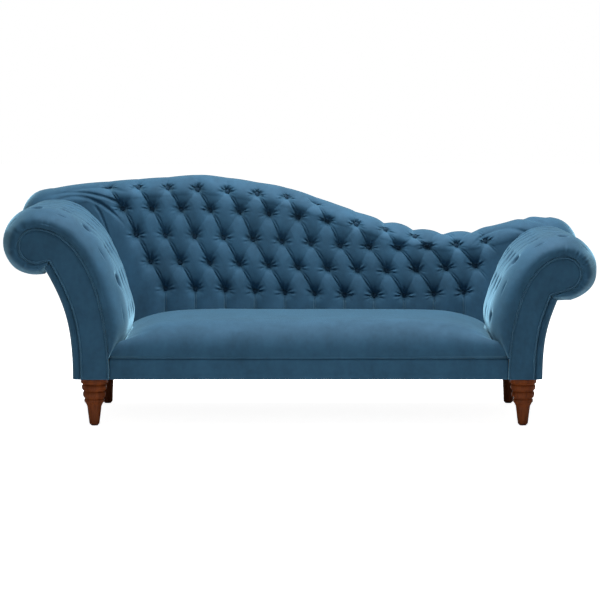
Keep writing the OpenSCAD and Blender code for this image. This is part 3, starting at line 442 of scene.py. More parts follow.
@dataclass(frozen=True)
class Velvet:
    """Cut velvet: a dark pile that shines where it is seen along its tips."""
    name: str
    base: Colour
    sheen: float = 0.82
    sheen_roughness: float = 0.37
    tint: Colour = (0.34, 0.66, 0.86)
    specular: float = 0.18
    pile: float = 1500.0
    pile_depth: float = 0.00035
    crush: float = 9.0
    crush_share: float = 0.22

    def material(self) -> bpy.types.Material:
        """Pile as fine noise in the bump, and crush marks as slow noise in the colour.

        Returns:
            The material.
        """
        made = Shader(self.name)
        marks = made.speckle(made.spread((1.0, 1.0, 0.55)), self.crush, 4.0, 0.6, 0.4)
        brushed = made.speckle(made.spread((1.0, 0.4, 1.0)), self.crush * 6, 3.0, 0.55)
        tone = made.sum("ADD", made.sum("MULTIPLY", marks, 0.7), made.sum("MULTIPLY", brushed, 0.3))
        factor = made.between(tone, 0.32, 0.68, 0.0, 1.0)
        pile = made.speckle(made.place, self.pile, 2.0, 0.6)
        made.set(Base_Color=made.blend(factor, shade(self.base, 1 - self.crush_share),
                                       shade(self.base, 1 + self.crush_share)),
                 Roughness=made.between(tone, 0.3, 0.7, 0.84, 0.74),
                 Sheen_Weight=self.sheen, Sheen_Roughness=self.sheen_roughness,
                 Sheen_Tint=(*self.tint, 1.0), Specular_IOR_Level=self.specular)
        made.relief(made.sum("ADD", pile, made.sum("MULTIPLY", brushed, 1.5)), self.pile_depth, 0.55)
        return made.material


@dataclass(frozen=True)
class Wood:
    """Wood with its grain along one axis."""
    name: str
    early: Colour
    late: Colour
    grain_axis: int
    roughness: float
    ring: float = 90.0
    shine: float = 0.5
    grain_depth: float = 0.0004

    def material(self) -> bpy.types.Material:
        """Grain as noise stretched along the fibre, with pores as a finer noise.

        Returns:
            The material.
        """
        made = Shader(self.name)
        stretch, pores = [1.0, 1.0, 1.0], [1.0, 1.0, 1.0]
        stretch[self.grain_axis], pores[self.grain_axis] = 0.07, 0.03
        bands = made.speckle(made.spread(stretch), self.ring, 5.0, 0.62, 1.4)
        fibre = made.speckle(made.spread(pores), self.ring * 12, 2.0, 0.6)
        cloud = made.speckle(made.place, 11.0, 2.0, 0.5)
        tone = made.sum("ADD", made.sum("MULTIPLY", bands, 0.62),
                        made.sum("ADD", made.sum("MULTIPLY", fibre, 0.2),
                                 made.sum("MULTIPLY", cloud, 0.18)))
        made.set(Base_Color=made.blend(made.between(tone, 0.36, 0.62, 0.0, 1.0), self.early, self.late),
                 Roughness=made.between(fibre, 0.3, 0.7, self.roughness - 0.06, self.roughness + 0.08),
                 Specular_IOR_Level=self.shine)
        made.relief(tone, self.grain_depth, 0.35)
        return made.material


@dataclass(frozen=True)
class Metal:
    """Drawn or plated steel."""
    name: str
    base: Colour
    roughness: float
    line_depth: float = 0.00005

    def material(self) -> bpy.types.Material:
        """Fine drawn lines in the roughness and the bump.

        Returns:
            The material.
        """
        made = Shader(self.name)
        lines = made.speckle(made.spread((1.0, 1.0, 0.06)), 700.0, 2.0, 0.6)
        dull = made.speckle(made.place, 60.0, 3.0, 0.6)
        made.set(Base_Color=made.blend(dull, shade(self.base, 0.8), self.base), Metallic=1.0,
                 Roughness=made.between(lines, 0.3, 0.7, self.roughness - 0.08, self.roughness + 0.1))
        made.relief(lines, self.line_depth, 0.5)
        return made.material


@dataclass(frozen=True)
class Weave:
    """Plain woven cloth of two crossing sets of threads."""
    name: str
    base: Colour
    threads: float
    depth: float

    def material(self) -> bpy.types.Material:
        """Threads as crossed sine waves of the object's coordinates, with uneven yarn.

        Returns:
            The material.
        """
        made = Shader(self.name)
        place = made.node("ShaderNodeSeparateXYZ", vector=made.place)
        turns = self.threads * 2 * math.pi
        waves = [made.sum("SINE", made.sum("MULTIPLY", place.outputs[k], turns), 0.0) for k in range(3)]
        cross = made.sum("MULTIPLY", waves[0], made.sum("ADD", waves[1], waves[2]))
        yarn = made.speckle(made.spread((1.0, 0.3, 1.0)), self.threads, 3.0, 0.6)
        tone = made.sum("ADD", made.sum("MULTIPLY", cross, 0.2), yarn)
        made.set(Base_Color=made.blend(made.between(tone, 0.3, 0.8, 0.0, 1.0),
                                       shade(self.base, 0.62), shade(self.base, 1.2)),
                 Roughness=made.between(yarn, 0.3, 0.7, 0.95, 0.8))
        made.relief(tone, self.depth, 0.7)
        return made.material


@dataclass(frozen=True)
class Plastic:
    """Moulded matt plastic."""
    name: str
    base: Colour
    grain_depth: float = 0.00008

    def material(self) -> bpy.types.Material:
        """Fine spark-eroded texture.

        Returns:
            The material.
        """
        made = Shader(self.name)
        grain = made.speckle(made.place, 1800.0, 2.0, 0.5)
        made.set(Base_Color=made.blend(grain, shade(self.base, 0.8), self.base),
                 Roughness=made.between(grain, 0.3, 0.7, 0.5, 0.62))
        made.relief(grain, self.grain_depth, 0.5)
        return made.material


class Finish(Enum):
    """The couch's finishes, each named as its slot in the record."""
    VELVET = Velvet("velvet", (0.0145, 0.056, 0.102))
    WELT = Velvet("velvet_welt", (0.018, 0.062, 0.108), sheen=0.75)
    # the buttons are covered in the same velvet; their colour is painted darker than it, as painted
    # shade of the pits they sit in
    SHADED_BUTTON = Velvet("velvet_buttons", (0.009, 0.034, 0.064), sheen=0.5)
    TURNED = Wood("turned_wood", early=(0.158, 0.036, 0.0050), late=(0.066, 0.0135, 0.0022),
                  grain_axis=2, roughness=0.46, shine=0.12)
    TIMBER = Wood("frame_wood", early=(0.58, 0.41, 0.23), late=(0.42, 0.27, 0.13), grain_axis=0,
                  roughness=0.68, ring=60.0)
    SPRING = Metal("spring_steel", (0.42, 0.43, 0.45), roughness=0.38)
    BOLT = Metal("bolt_steel", (0.58, 0.59, 0.60), roughness=0.28)
    GLIDE = Plastic("glide_plastic", (0.04, 0.04, 0.043))
    WEBBING = Weave("webbing", (0.36, 0.24, 0.12), threads=380.0, depth=0.0006)
    HESSIAN = Weave("hessian", (0.48, 0.36, 0.20), threads=520.0, depth=0.0004)
    LINING = Weave("lining_cloth", (0.02, 0.021, 0.024), threads=900.0, depth=0.0002)


MATERIALS: dict[str, bpy.types.Material] = {}


def dress(piece: bpy.types.Object, finish: Finish) -> None:
    """Gives an object the one material of a finish, made at its first use.

    Args:
        piece: The object.
        finish: Its finish.
    """
    if finish.name not in MATERIALS:
        MATERIALS[finish.name] = finish.value.material()
    piece.data.materials.clear()
    piece.data.materials.append(MATERIALS[finish.name])


def add(piece: bpy.types.Object, finish: Finish, nodes: Sequence[str]) -> None:
    """Dresses a piece, puts it on the couch's one body and hides the solids that it stands for.

    Args:
        piece: The finished piece.
        finish: Its finish.
        nodes: The solids that it stands for.
    """
    dress(piece, finish)
    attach(piece, "root")
    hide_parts(*nodes)
    LOG.info("%s: %d faces", piece.name, len(piece.data.polygons))


def add_loft(rings: Array, name: str, finish: Finish, node: str,
             cap: Cap = Cap.STRIP, weld: float = 0.0) -> bpy.types.Object:
    """Makes one lofted piece that stands for one solid, and adds it.

    Args:
        rings: Points as (ring, place on the ring, 3).
        name: Name of the piece.
        finish: Its finish.
        node: The solid that it stands for.
        cap: How the ends are closed.
        weld: Points closer than this are made one, or nought to leave them.

    Returns:
        The piece.
    """
    piece = Surface().loft(rings, cap).piece(name, weld)
    add(piece, finish, [node])
    return piece


# Shared sizes and tufting

@dataclass(frozen=True)
class Couch:
    """Sizes that several sub-assemblies share."""
    depth: float = 0.900
    seat_width: float = 1.470
    seat_middle: float = 0.032
    frame_height: float = 0.175
    border_height: float = 0.077
    seat_rise: float = 0.136
    back_lean: float = 12.0
    crest_high: float = 0.901
    roll_depth: float = 0.205
    roll_height: float = 0.075
    back_thickness: float = 0.085
    rear_overhang: float = 0.088
    welt_height: float = 0.003
    facing_thickness: float = 0.011
    board_thickness: float = 0.025
    lining_thickness: float = 0.003
    clearance: float = 0.0003
    facet_room: float = 0.010

    @property
    def front(self) -> float:
        """Depth of the foremost point."""
        return -self.depth / 2

    @property
    def board_front(self) -> float:
        """Depth of the arm boards' front."""
        return self.front + self.welt_height + self.facing_thickness

    @property
    def rear_plane(self) -> float:
        """Depth of the frame's rear."""
        return self.depth / 2 - self.rear_overhang

    @property
    def seam(self) -> float:
        """Height of the seam under the seat."""
        return self.frame_height + self.border_height

    @property
    def seat_top(self) -> float:
        """Height of the seat's highest point."""
        return self.seam + self.seat_rise

    @property
    def foot_gap(self) -> float:
        """Gap between an arm's outline and the back's padding over it."""
        return self.lining_thickness + self.clearance + self.facet_room

    def face(self, z: Values) -> Values:
        """Depth of the back's front face at a height: a plane that leans back."""
        slope = math.tan(math.radians(self.back_lean))
        return self.depth / 2 - self.roll_depth + (z - self.crest_high + self.roll_height) * slope


COUCH = Couch()


@dataclass(frozen=True)
class Tufting:
    """Diamond buttoning of a padded surface.

    The buttons stand at whole values of a and b, the two ways along the folds. The folds are the
    lines on which a or b is whole: those of whole b are crisp and doubled, those of whole a soft.
    """
    button_depth: float
    half_pitch: float
    row_gap: float
    seed: int
    soft_depth: float = 0.0056
    crisp_depth: float = 0.0098
    pit_floor: float = 0.0088
    pit_above: float = 0.0150
    pit_below: float = 0.0098
    pit_power: float = 1.2
    crease_depth: float = 0.0058
    crease_width: float = 0.0027
    crease_bow: float = 0.0035
    crease_gap: float = 0.0085
    waver: float = 0.030
    wrinkle: float = 0.0026
    wrinkle_ring: float = 0.021

    @property
    def fold_depth(self) -> float:
        """Depth of the two kinds of fold where they cross."""
        return self.soft_depth + self.crisp_depth

    def nearest(self, a: Array, b: Array) -> tuple[Array, Array]:
        """Distances across and down from the nearest button of the lattice."""
        near_a, near_b = a - np.round(a), b - np.round(b)
        return (near_a + near_b) * self.half_pitch, (near_a - near_b) * self.row_gap

    def folds(self, a: Array, b: Array) -> Array:
        """Depth of the folds and creases below the smooth padding.

        It is the sum of a rounded valley, 1 - |sin pi a|^1.25, and a sharp one,
        1 - |sin pi b|^0.8, each shallower midway between two buttons, and of the creases.

        Args:
            a: First way along the folds.
            b: Second way along the folds.

        Returns:
            The depth at each point.
        """
        sin_a, sin_b = np.abs(np.sin(math.pi * a)), np.abs(np.sin(math.pi * b))
        free = self.waver * sin_a * sin_b
        wavy_a = a + free * noise(a * 1.7 + 9, b * 1.7, self.seed + 1)
        wavy_b = b + free * noise(a * 1.7, b * 1.7, self.seed)
        valley_a = 1 - np.abs(np.sin(math.pi * wavy_a)) ** 1.25
        valley_b = 1 - np.abs(np.sin(math.pi * wavy_b)) ** 0.80
        full = 1 + 0.14 * noise(np.floor(a) + 0.5, np.floor(b) + 0.5, self.seed + 2)
        folds = (self.soft_depth * valley_a * (1 - 0.42 * sin_b ** 2)
                 + self.crisp_depth * valley_b * (1 - 0.30 * sin_a ** 2))
        return (self.fold_depth + (folds - self.fold_depth) * full
                + self.creases(a, b, sin_a, sin_b))

    def pits(self, side: Array, down: Array) -> Array:
        """Cones round the buttons, with a flat floor and a steeper wall on their lower side.

        With r the distance beyond the floor's rim and w the wall's width, the depth is what the
        folds leave of the button's depth, times e to the minus (r / w)^1.2.

        Args:
            side: Distance across from the nearest button.
            down: Distance down from the nearest button.

        Returns:
            The depth at each point.
        """
        away = np.hypot(side, down)
        lean = 0.5 + 0.5 * down / (away + 1e-6)
        width = mix(self.pit_above, self.pit_below, smooth(lean))
        beyond_floor = np.maximum(0.0, away - self.pit_floor)
        wall = np.exp(-(beyond_floor / width) ** self.pit_power)
        return (self.button_depth - self.fold_depth) * wall

    def creases(self, a: Array, b: Array, sin_a: Array, sin_b: Array) -> Array:
        """Narrow grooves along the folds: two bowed ones in each crisp fold, a faint one in a soft.

        Each is a bell of the distance across the fold, under a power of the sine along it.

        Args:
            a: First way along the folds.
            b: Second way along the folds.
            sin_a: Size of sin pi a.
            sin_b: Size of sin pi b.

        Returns:
            The creases' depth at each point.
        """
        span = 2 * self.half_pitch * self.row_gap / math.hypot(self.half_pitch, self.row_gap)
        across, across_soft = (b - np.round(b)) * span, (a - np.round(a)) * span
        own = 0.5 + 0.5 * noise(np.floor(a) + 0.5, np.round(b) + 0.5, self.seed + 5)
        bow = self.crease_bow * sin_a
        second = bow + self.crease_gap * sin_a ** 1.4
        wide = np.where(across > bow, 0.75, 1.5) * self.crease_width
        return self.crease_depth * (
            mix(0.75, 1.15, own) * bell(across - bow, wide) * sin_a ** 0.45
            + mix(0.25, 0.95, own) * bell(across - second, self.crease_width) * sin_a ** 1.2
            + 0.22 * bell(across_soft, 1.8 * self.crease_width) * sin_b ** 0.5)

    def rays(self, a: Array, b: Array, side: Array, down: Array) -> Array:
        """Ripples that run out from each button.

        Each is the cosine of a whole number of turns of the angle round the button, under a bell
        of the distance from it, strongest above it and to its sides.

        Args:
            a: First way along the folds.
            b: Second way along the folds.
            side: Distance across from the nearest button.
            down: Distance down from the nearest button.

        Returns:
            The ripple's depth at each point.
        """
        away, angle = np.hypot(side, down), np.arctan2(down, side)
        own = noise(np.round(a) + 0.5, np.round(b) + 0.5, self.seed + 3)
        other = noise(np.round(a) + 0.5, np.round(b) + 0.5, self.seed + 4)
        ripple = (0.65 * np.cos(11 * angle + 5 * own) + 0.45 * np.cos(15 * angle + 7 * other)
                  + 0.4 * np.cos(7 * angle - 6 * own))
        beyond = away - self.wrinkle_ring
        reach = bell(beyond, np.where(beyond < 0, 0.0075, 0.0150))
        above = smooth(0.75 - 0.85 * down / (away + 1e-6))
        return self.wrinkle * (1 + 0.5 * other) * ripple * reach * above


@dataclass(frozen=True)
class Button:
    """Covered button: a low dome with a rounded rim."""
    radius: float = 0.0094
    dome: float = 0.0062
    rim_share: float = 0.45
    sunk: float = 0.001
    rings: int = 9
    sides: int = 24

    def rings_at(self, place: Array, facing: Array) -> Array:
        """Rings of one button.

        Along the profile, from underneath to the top, the radius is R sin(t)^0.8. With r the
        rim's share, the height is H r (1 + cos(t)) up to the rim, and H (r + (1 - r) cos(t))
        over the dome. The button is closed at both ends.

        Args:
            place: Middle of the button's underside.
            facing: Unit direction in which it faces.

        Returns:
            The rings, as (ring, side, 3).
        """
        share = np.linspace(0.02, 1.0, self.rings)
        turn = math.pi * (1 - share)
        radii = self.radius * np.sin(turn) ** 0.8 + 1e-5
        rim = self.rim_share
        high = self.dome * np.where(turn > math.pi / 2, rim * (1 + np.cos(turn)),
                                    rim + (1 - rim) * np.cos(turn))
        helper = np.array([1.0, 0.0, 0.0]) if abs(facing[0]) < 0.9 else np.array([0.0, 1.0, 0.0])
        across = np.cross(facing, helper)
        across /= np.linalg.norm(across)
        up = np.cross(facing, across)
        angle = np.linspace(0, 2 * math.pi, self.sides, endpoint=False)
        circle = np.cos(angle)[:, None] * across + np.sin(angle)[:, None] * up
        return place + radii[:, None, None] * circle[None] + high[:, None, None] * facing


# Arms

@dataclass(frozen=True)
class Arm:
    """A scroll arm: padding, buttons, facing, welt and outside panel."""
    name: str
    side: int
    rise: float
    reach: float
    radius: float
    foot: float
    tuck_in: float
    tuck_drop: float
    rows: int
    seed: int
    pad_inner: float = 0.088
    pad_top: float = 0.078
    pad_outer: float = 0.067
    pad_tuck: float = 0.049
    swell: float = 0.150
    round: float = 0.130
    edge_gap: float = 0.004
    button_pitch: float = 0.116
    row_gap: float = 0.085
    first_button: float = 0.100
    button_depth: float = 0.027
    arc_count: int = 8
    tail_count: int = 1
    edge_share: float = 0.36
    least_thickness: float = 0.0065
    edge_lift: float = 0.0040
    back_lap: float = 0.004
    rim_bulge: float = 0.0105
    rim_angle: float = 0.45
    rim_width: float = 0.32
    gather_share: float = 0.22
    thin_share: float = 0.32
    thin_start: float = -0.03
    thin_run: float = 0.26
    unevenness: float = 0.0016
    outside_gap: float = 0.031
    outside_thickness: float = 0.012
    outside_corner: float = 0.025
    outside_lap: float = 0.0045
    outside_fullness: float = 0.0015
    corner_seam: float = 0.0014
    facing_middle: float = 0.45
    facing_edge: float = 0.55
    facing_crown: float = 0.0012
    inner_bend: tuple[float, float] = (0.62, 0.44)
    outer_bend: tuple[float, float, float] = (0.30, 0.68, 0.50)
    welt_inset: float = 0.0032
    welt_radius: float = 0.0031

    @property
    def edge(self) -> float:
        """Place across of the inner edge."""
        return COUCH.seat_middle + self.side * COUCH.seat_width / 2

    @property
    def arc_end(self) -> float:
        """Angle at which the scroll's arc meets the line from the tuck."""
        away = math.hypot(self.tuck_in, self.tuck_drop)
        return math.atan2(-self.tuck_drop, -self.tuck_in) + math.acos(min(1.0, self.radius / away))

    def inner(self, t: Array) -> Array:
        """Inner edge as (out, up): a cubic that leaves the foot upright and meets the scroll level."""
        top, (low, over) = self.rise + self.radius, self.inner_bend
        return bezier([(0, 0), (0, low * top), (over * self.reach, top), (self.reach, top)], t)

    def arc(self, t: Array) -> Array:
        """Scroll's arc: the centre plus the radius, from straight up round to the tuck's line."""
        angle = mix(math.pi / 2, self.arc_end, np.asarray(t, dtype=float))
        return np.stack([self.reach + self.radius * np.cos(angle),
                         self.rise + self.radius * np.sin(angle)], axis=-1)

    def outer(self, t: Array) -> Array:
        """Outer edge: a cubic from the tuck down to the foot."""
        tuck, (out, high, low) = self.tuck, self.outer_bend
        return bezier([tuck, (mix(self.foot, tuck[0], out), high * tuck[1]),
                       (self.foot, low * tuck[1]), (self.foot, 0)], t)

    def placed(self, path: Array, y: Values) -> Array:
        """An (out, up) path as points of the couch, at depths y."""
        x = self.edge + self.side * path[..., 0]
        return grid(x, y, COUCH.frame_height + path[..., 1])

    def seam_share(self) -> float:
        """Share of the inner edge at which it passes the seam."""
        t = np.linspace(0, 1, 400)
        return float(np.interp(COUCH.border_height, self.inner(t)[:, 1], t))

    @property
    def tuck(self) -> Array:
        """Inner corner under the scroll, as (out, up)."""
        return np.array([self.reach - self.tuck_in, self.rise - self.tuck_drop])

    @property
    def tuck_lead(self) -> Array:
        """Mitre at the tuck, along which the padding meets the outside panel."""
        return mitre(self.arc(1.0), self.tuck, self.outer(0.1))

    @property
    def half_rows(self) -> int:
        """Half rows of buttons up the inner edge."""
        return 2 * self.rows

    @property
    def arc_last(self) -> int:
        """Place of the padded path at which the scroll's arc ends."""
        return self.half_rows + self.arc_count

    @property
    def last(self) -> int:
        """Last place of the padded path."""
        return self.arc_last + self.tail_count

    def pad_path(self, i: Array) -> Array:
        """Padded path by button half rows: up the inner edge, round the scroll, on to the tuck.

        Args:
            i: Places along the padded path.

        Returns:
            The points, as (out, up).
        """
        up = self.inner(mix(self.seam_share(), 1.0, np.clip(i / self.half_rows, 0, 1)))
        over = self.arc(self.arc_share(i))
        tail = mix(self.arc(1.0), self.tuck, self.tail_share(i)[:, None])
        beyond = np.where((i <= self.arc_last)[:, None], over, tail)
        return np.where((i <= self.half_rows)[:, None], up, beyond)

    def arc_share(self, i: Array) -> Array:
        """Share of the scroll's arc at a place of the padded path."""
        return np.clip((i - self.half_rows) / self.arc_count, 0, 1)

    def tail_share(self, i: Array) -> Array:
        """Share of the straight tail at a place of the padded path."""
        return np.clip((i - self.last) / self.tail_count + 1, 0, 1)

    def leads(self, i: Array) -> Array:
        """Directions of the padding's thickness: the path's normals, turned to the tuck's mitre.

        Args:
            i: Places along the padded path.

        Returns:
            The directions, as (out, up).
        """
        fine = np.linspace(0, self.arc_last, 900)
        normals = path_normals(self.pad_path(fine))
        normals[-1] = (math.cos(self.arc_end), math.sin(self.arc_end))
        own = np.stack([np.interp(i, fine, normals[:, k]) for k in (0, 1)], axis=1)
        return mix(own, self.tuck_lead, self.tail_share(i)[:, None])

    def swelling(self, above: Values) -> Array:
        """Share of the full padding at a height above the seam: sin of 90 degrees times t^0.85."""
        return np.sin(math.pi / 2 * np.clip(above / self.swell, 0, 1) ** 0.85)

    def pad_thickness(self, i: Array, path: Array) -> Array:
        """Thickness of the padding: it swells from the seam, and thins over the scroll to the tuck.

        Args:
            i: Places along the padded path.
            path: Its points there, as (out, up).

        Returns:
            The thickness at each place.
        """
        low = mix(self.pad_inner, self.pad_top, np.clip(i / self.half_rows, 0, 1) ** 2)
        low = low * self.swelling(path[:, 1] - COUCH.border_height)
        angle = mix(math.pi / 2, self.arc_end, self.arc_share(i))
        over = np.where(angle > 0, mix(self.pad_outer, self.pad_top, angle / (math.pi / 2)),
                        mix(self.pad_outer, self.pad_tuck, smooth(angle / self.arc_end)))
        tail = mix(self.pad_tuck, self.outside_gap, self.tail_share(i))
        return np.where(i <= self.half_rows, low, np.where(i <= self.arc_last, over, tail))

    def fullness(self, y: Array) -> Array:
        """Share of the padding's thickness at a depth: a quarter ellipse from the front edge."""
        return np.sqrt(np.clip(1 - np.clip((self.round_end - y) / self.round, 0, 1) ** 2, 0, 1))

    def thinning(self, i: Array, y: Array) -> Array:
        """Share of the padding's thickness left towards the back, low on the arm's inner side."""
        low = 1 - smooth((i - 1) / (self.half_rows - 2))
        return 1 - self.thin_share * smooth((y - self.thin_start) / self.thin_run) * low

    @property
    def round_end(self) -> float:
        """Depth at which the padding's front edge is fully round."""
        return COUCH.front + self.edge_gap + self.round

    def tufting(self) -> Tufting:
        """The arm's buttoning."""
        return Tufting(self.button_depth, self.button_pitch / 2, self.row_gap, self.seed,
                       soft_depth=0.0012, crisp_depth=0.0022, pit_floor=0.0078,
                       pit_above=0.0062, pit_below=0.0056, crease_depth=0.0030,
                       crease_width=0.0030, wrinkle=0.0006)

    def pad_surface(self, i: Array, depth: Array) -> tuple[Array, Array, Array]:
        """Smooth padding over the arm.

        Across the path a point lies its thickness out along the path's normal. At the front edge
        the thickness is that of a quarter ellipse, sin(angle), at a depth of -cos(angle), with a
        gathered rim that bulges forward.

        Args:
            i: Places along the padded path.
            depth: Shares from the front edge to the back: the first ones are the round edge.

        Returns:
            The points, the padding's directions in the couch's frame and the depths.
        """
        path, lead = self.pad_path(i), self.leads(i)
        thick = np.maximum(self.pad_thickness(i, path), self.least_thickness)
        angle = np.clip(depth / self.edge_share, 0, 1) * math.pi / 2
        limit = COUCH.face(COUCH.frame_height + path[:, 1]) + self.back_lap
        run = np.clip((depth - self.edge_share) / (1 - self.edge_share), 0, 1)
        y = np.where(depth[:, None] < self.edge_share,
                     self.round_end - self.round * np.cos(angle)[:, None],
                     mix(self.round_end, limit[None], run[:, None]))
        out = np.maximum(thick[None] * np.sin(angle)[:, None], self.edge_lift)
        out = out * self.thinning(i[None], y)
        rim = bell(angle - self.rim_angle, self.rim_width)[:, None]
        gathers = noise(i[None] * 4.2, 0.6 * angle[:, None], self.seed + 9)
        gathered = self.gather_share * gathers * smooth((i - self.half_rows + 3) / 3)[None]
        y = y - self.rim_bulge * rim * (1 + gathered)
        flat = path[None] + lead[None] * out[..., None]
        across = grid(self.side * lead[:, 0], 0.0, lead[:, 1])
        return self.placed(flat, y), np.broadcast_to(across[None], flat.shape[:2] + (3,)), y

    def lattice(self, i: Array, y: Array) -> tuple[Array, Array]:
        """Place along and row of the buttons at a point of the padding."""
        along = (y - COUCH.front - self.first_button) / (self.button_pitch / 2)
        return along, np.broadcast_to((self.half_rows - i) / 2, along.shape)

    def build_pad(self) -> None:
        """Padding with its tufts, rolled over the scroll and tucked under it."""
        i = np.linspace(0, self.last, 250)
        depth = np.concatenate([np.linspace(0, self.edge_share, 84)[:-1],
                                np.linspace(self.edge_share, 1, 130)])
        points, across, y = self.pad_surface(i, depth)
        normal = grid_normals(points)
        normal *= np.sign(np.sum(normal * across, axis=2, keepdims=True) + 1e-9)
        along, row = self.lattice(i, y)
        a, b, tufts = (along + row) / 2, (along - row) / 2, self.tufting()
        side, down = tufts.nearest(a, b)
        ends = smooth((i - 1) / 3)[None] * smooth((self.half_rows + 3.2 - i) / 2.2)[None]
        # ahead of the first buttons the folds fade out, and only the pits go on
        folded = smooth(along * 1.3 + 0.35)
        lone_pits = tufts.fold_depth * bell(np.hypot(side, down), 0.010) * (1 - folded)
        pits = (tufts.pits(side, down) + lone_pits) * (along > -0.8)
        dent = ((tufts.folds(a, b) + tufts.rays(a, b, side, down)) * folded + pits) * ends
        slow = self.unevenness * noise(i[None] * 0.9, y * 14, self.seed + 7)
        shown = points - normal * (dent + slow)[..., None]
        behind = mix(0.0005, 0.0033, smooth((y - COUCH.board_front) / 0.002))
        back = self.placed(self.pad_path(i)[None] + self.leads(i)[None] * behind[..., None], y)
        rings = np.concatenate([shown, back[:, ::-1]], axis=1)
        add_loft(rings, f"{self.name}_arm_padding", Finish.VELVET, f"{self.name}_arm_pad")

    def build_buttons(self) -> None:
        """Buttons in the padding's pits, each facing along the padding's normal.

        The lowest row would lie behind the seat, so it has none.
        """
        made, button = Surface(), Button()
        half, step = self.button_pitch / 2, 5e-4
        for row in range(self.rows - 1):
            i = np.array([float(self.half_rows - 2 * row)])
            path, lead = self.pad_path(i)[0], self.leads(i)[0]
            thick = self.pad_thickness(i, path[None])[0]
            limit = COUCH.face(COUCH.frame_height + path[1]) - 0.4 * half
            for y in COUCH.front + self.first_button + half * np.arange(row % 2, 12, 2):
                if y > limit:
                    continue
                rise = float(self.fullness(y + step) - self.fullness(y - step))
                facing = np.array([self.side * lead[0], -thick * rise / (2 * step), lead[1]])
                facing /= np.linalg.norm(facing)
                full = float(self.fullness(y) * self.thinning(i[0], y))
                spot = self.placed(path + lead * thick * full, y)
                made.loft(button.rings_at(spot - facing * (self.button_depth + button.sunk), facing))
        add(made.piece(f"{self.name}_arm_covered_buttons"), Finish.SHADED_BUTTON, [f"{self.name}_arm_buttons"])

    def outline(self, count: int) -> Array:
        """Facing's outline as one path, from the inner foot round the scroll to the outer foot."""
        t = np.linspace(0, 1, count)
        return np.concatenate([self.inner(t), self.arc(t)[1:], self.outer(t)])

    def build_facing(self) -> None:
        """Facing: a padded board cover, ruled between the outline's two sides.

        Its depth falls off towards the outline as soft steps of the distance from it.
        """
        t, middle = np.linspace(0, 1, 80), self.facing_middle
        near = evenly(np.concatenate([self.inner(t), self.arc(t * middle)[1:]]), 130)
        far = evenly(np.concatenate([self.outer(t)[::-1], self.arc(1 - t * (1 - middle))[1:]]), 130)
        v = np.linspace(0, 1, 33)
        flat = mix(near[:, None], far[:, None], v[None, :, None])
        rim = self.outline(200)
        away = np.sqrt(((flat[:, :, None] - rim[None, None]) ** 2).sum(axis=3)).min(axis=2)
        # a steep step at the piping, a softer one inside it, and a low crown in the middle
        steps = 0.6 * smooth(away / 0.0035) + 0.4 * smooth((away - 0.004) / 0.007)
        lift = COUCH.facing_thickness * mix(self.facing_edge, 1.0, steps)
        lift = lift + self.facing_crown * smooth((away - 0.008) / 0.03)
        front = self.placed(flat, COUCH.board_front - lift)
        rear = self.placed(flat[:, ::-1], np.full(flat.shape[:2], COUCH.board_front))
        add_loft(np.concatenate([front, rear], axis=1), f"{self.name}_facing_velvet",
                 Finish.VELVET, f"{self.name}_facing", weld=WELD)

    def build_welt(self) -> None:
        """Self-piping sewn round the facing, just inside its outline."""
        path = evenly(self.outline(400), 420)
        path = path - path_normals(path) * self.welt_inset
        path[:, 1] = np.maximum(path[:, 1], 0.0)
        sunk = 0.0002
        depth = COUCH.board_front - COUCH.facing_thickness + sunk
        centres = self.placed(path, np.full(len(path), depth))
        add_loft(tube(centres, self.welt_radius, 14), f"{self.name}_facing_piping", Finish.WELT,
                 f"{self.name}_facing_welt", cap=Cap.FAN)

    def outside_line(self, count: int) -> tuple[Array, Array]:
        """Outer edge from just under the tuck, and the directions of the outside panel's thickness.

        Args:
            count: Number of points.

        Returns:
            The points and the directions, as (out, up).
        """
        path = evenly(self.outer(np.linspace(0.008, 1, 200)), count)
        lead = path_normals(path)
        lead[0] = mitre(self.arc(1.0), path[0], path[1])
        return path, lead

    def build_outside(self) -> None:
        """Outside panel with its front corner rounded back, and a seam along the corner.

        The corner is a quarter circle: in by r (1 - sin), back by r (1 - cos). The seam is a bell
        across the depth, and the panel's fullness a root of a half sine.
        """
        path, normal = self.outside_line(110)
        normal[-1] = (1.0, 0.0)
        turn = np.linspace(0.12, 1, 12) * math.pi / 2
        r, gap = self.outside_corner, self.outside_gap
        start = COUCH.board_front - self.outside_lap
        straight = np.linspace(start + r, COUCH.rear_plane, 42)[1:]
        outs = np.concatenate([gap - r * (1 - np.sin(turn)), np.full(len(straight), gap)])
        ys = np.concatenate([start + r * (1 - np.cos(turn)), straight])
        groove = self.corner_seam * bell(ys - (start + 0.010), 0.0020)
        across = np.clip((ys - ys[0]) / (ys[-1] - ys[0]), 0, 1)
        pillow = self.outside_fullness * np.sin(math.pi * across) ** 0.5
        outs = outs - groove + pillow * (ys > COUCH.board_front + r)
        back_ys = ys[::-1]
        past_board = back_ys > COUCH.board_front + COUCH.board_thickness + self.outside_thickness
        back_outs = np.where(past_board, gap - self.outside_thickness, 0.0005)
        profile = np.stack([np.concatenate([outs, back_outs]), np.concatenate([ys, back_ys])], axis=1)
        flat = path[:, None] + normal[:, None] * profile[None, :, :1]
        points = self.placed(flat, np.broadcast_to(profile[None, :, 1], flat.shape[:2]))
        add_loft(points, f"{self.name}_outside_velvet", Finish.VELVET, f"{self.name}_outside_arm")

    def build(self) -> None:
        """Builds the arm's pieces in order."""
        self.build_pad()
        self.build_buttons()
        self.build_facing()
        self.build_welt()
        self.build_outside()


LEFT_ARM = Arm("left", side=-1, rise=0.493, reach=0.266, radius=0.064, foot=0.104,
               tuck_in=0.049, tuck_drop=0.056, rows=6, seed=11)
RIGHT_ARM = Arm("right", side=1, rise=0.391, reach=0.204, radius=0.062, foot=0.097,
                tuck_in=0.049, tuck_drop=0.080, rows=5, seed=23)


# Back

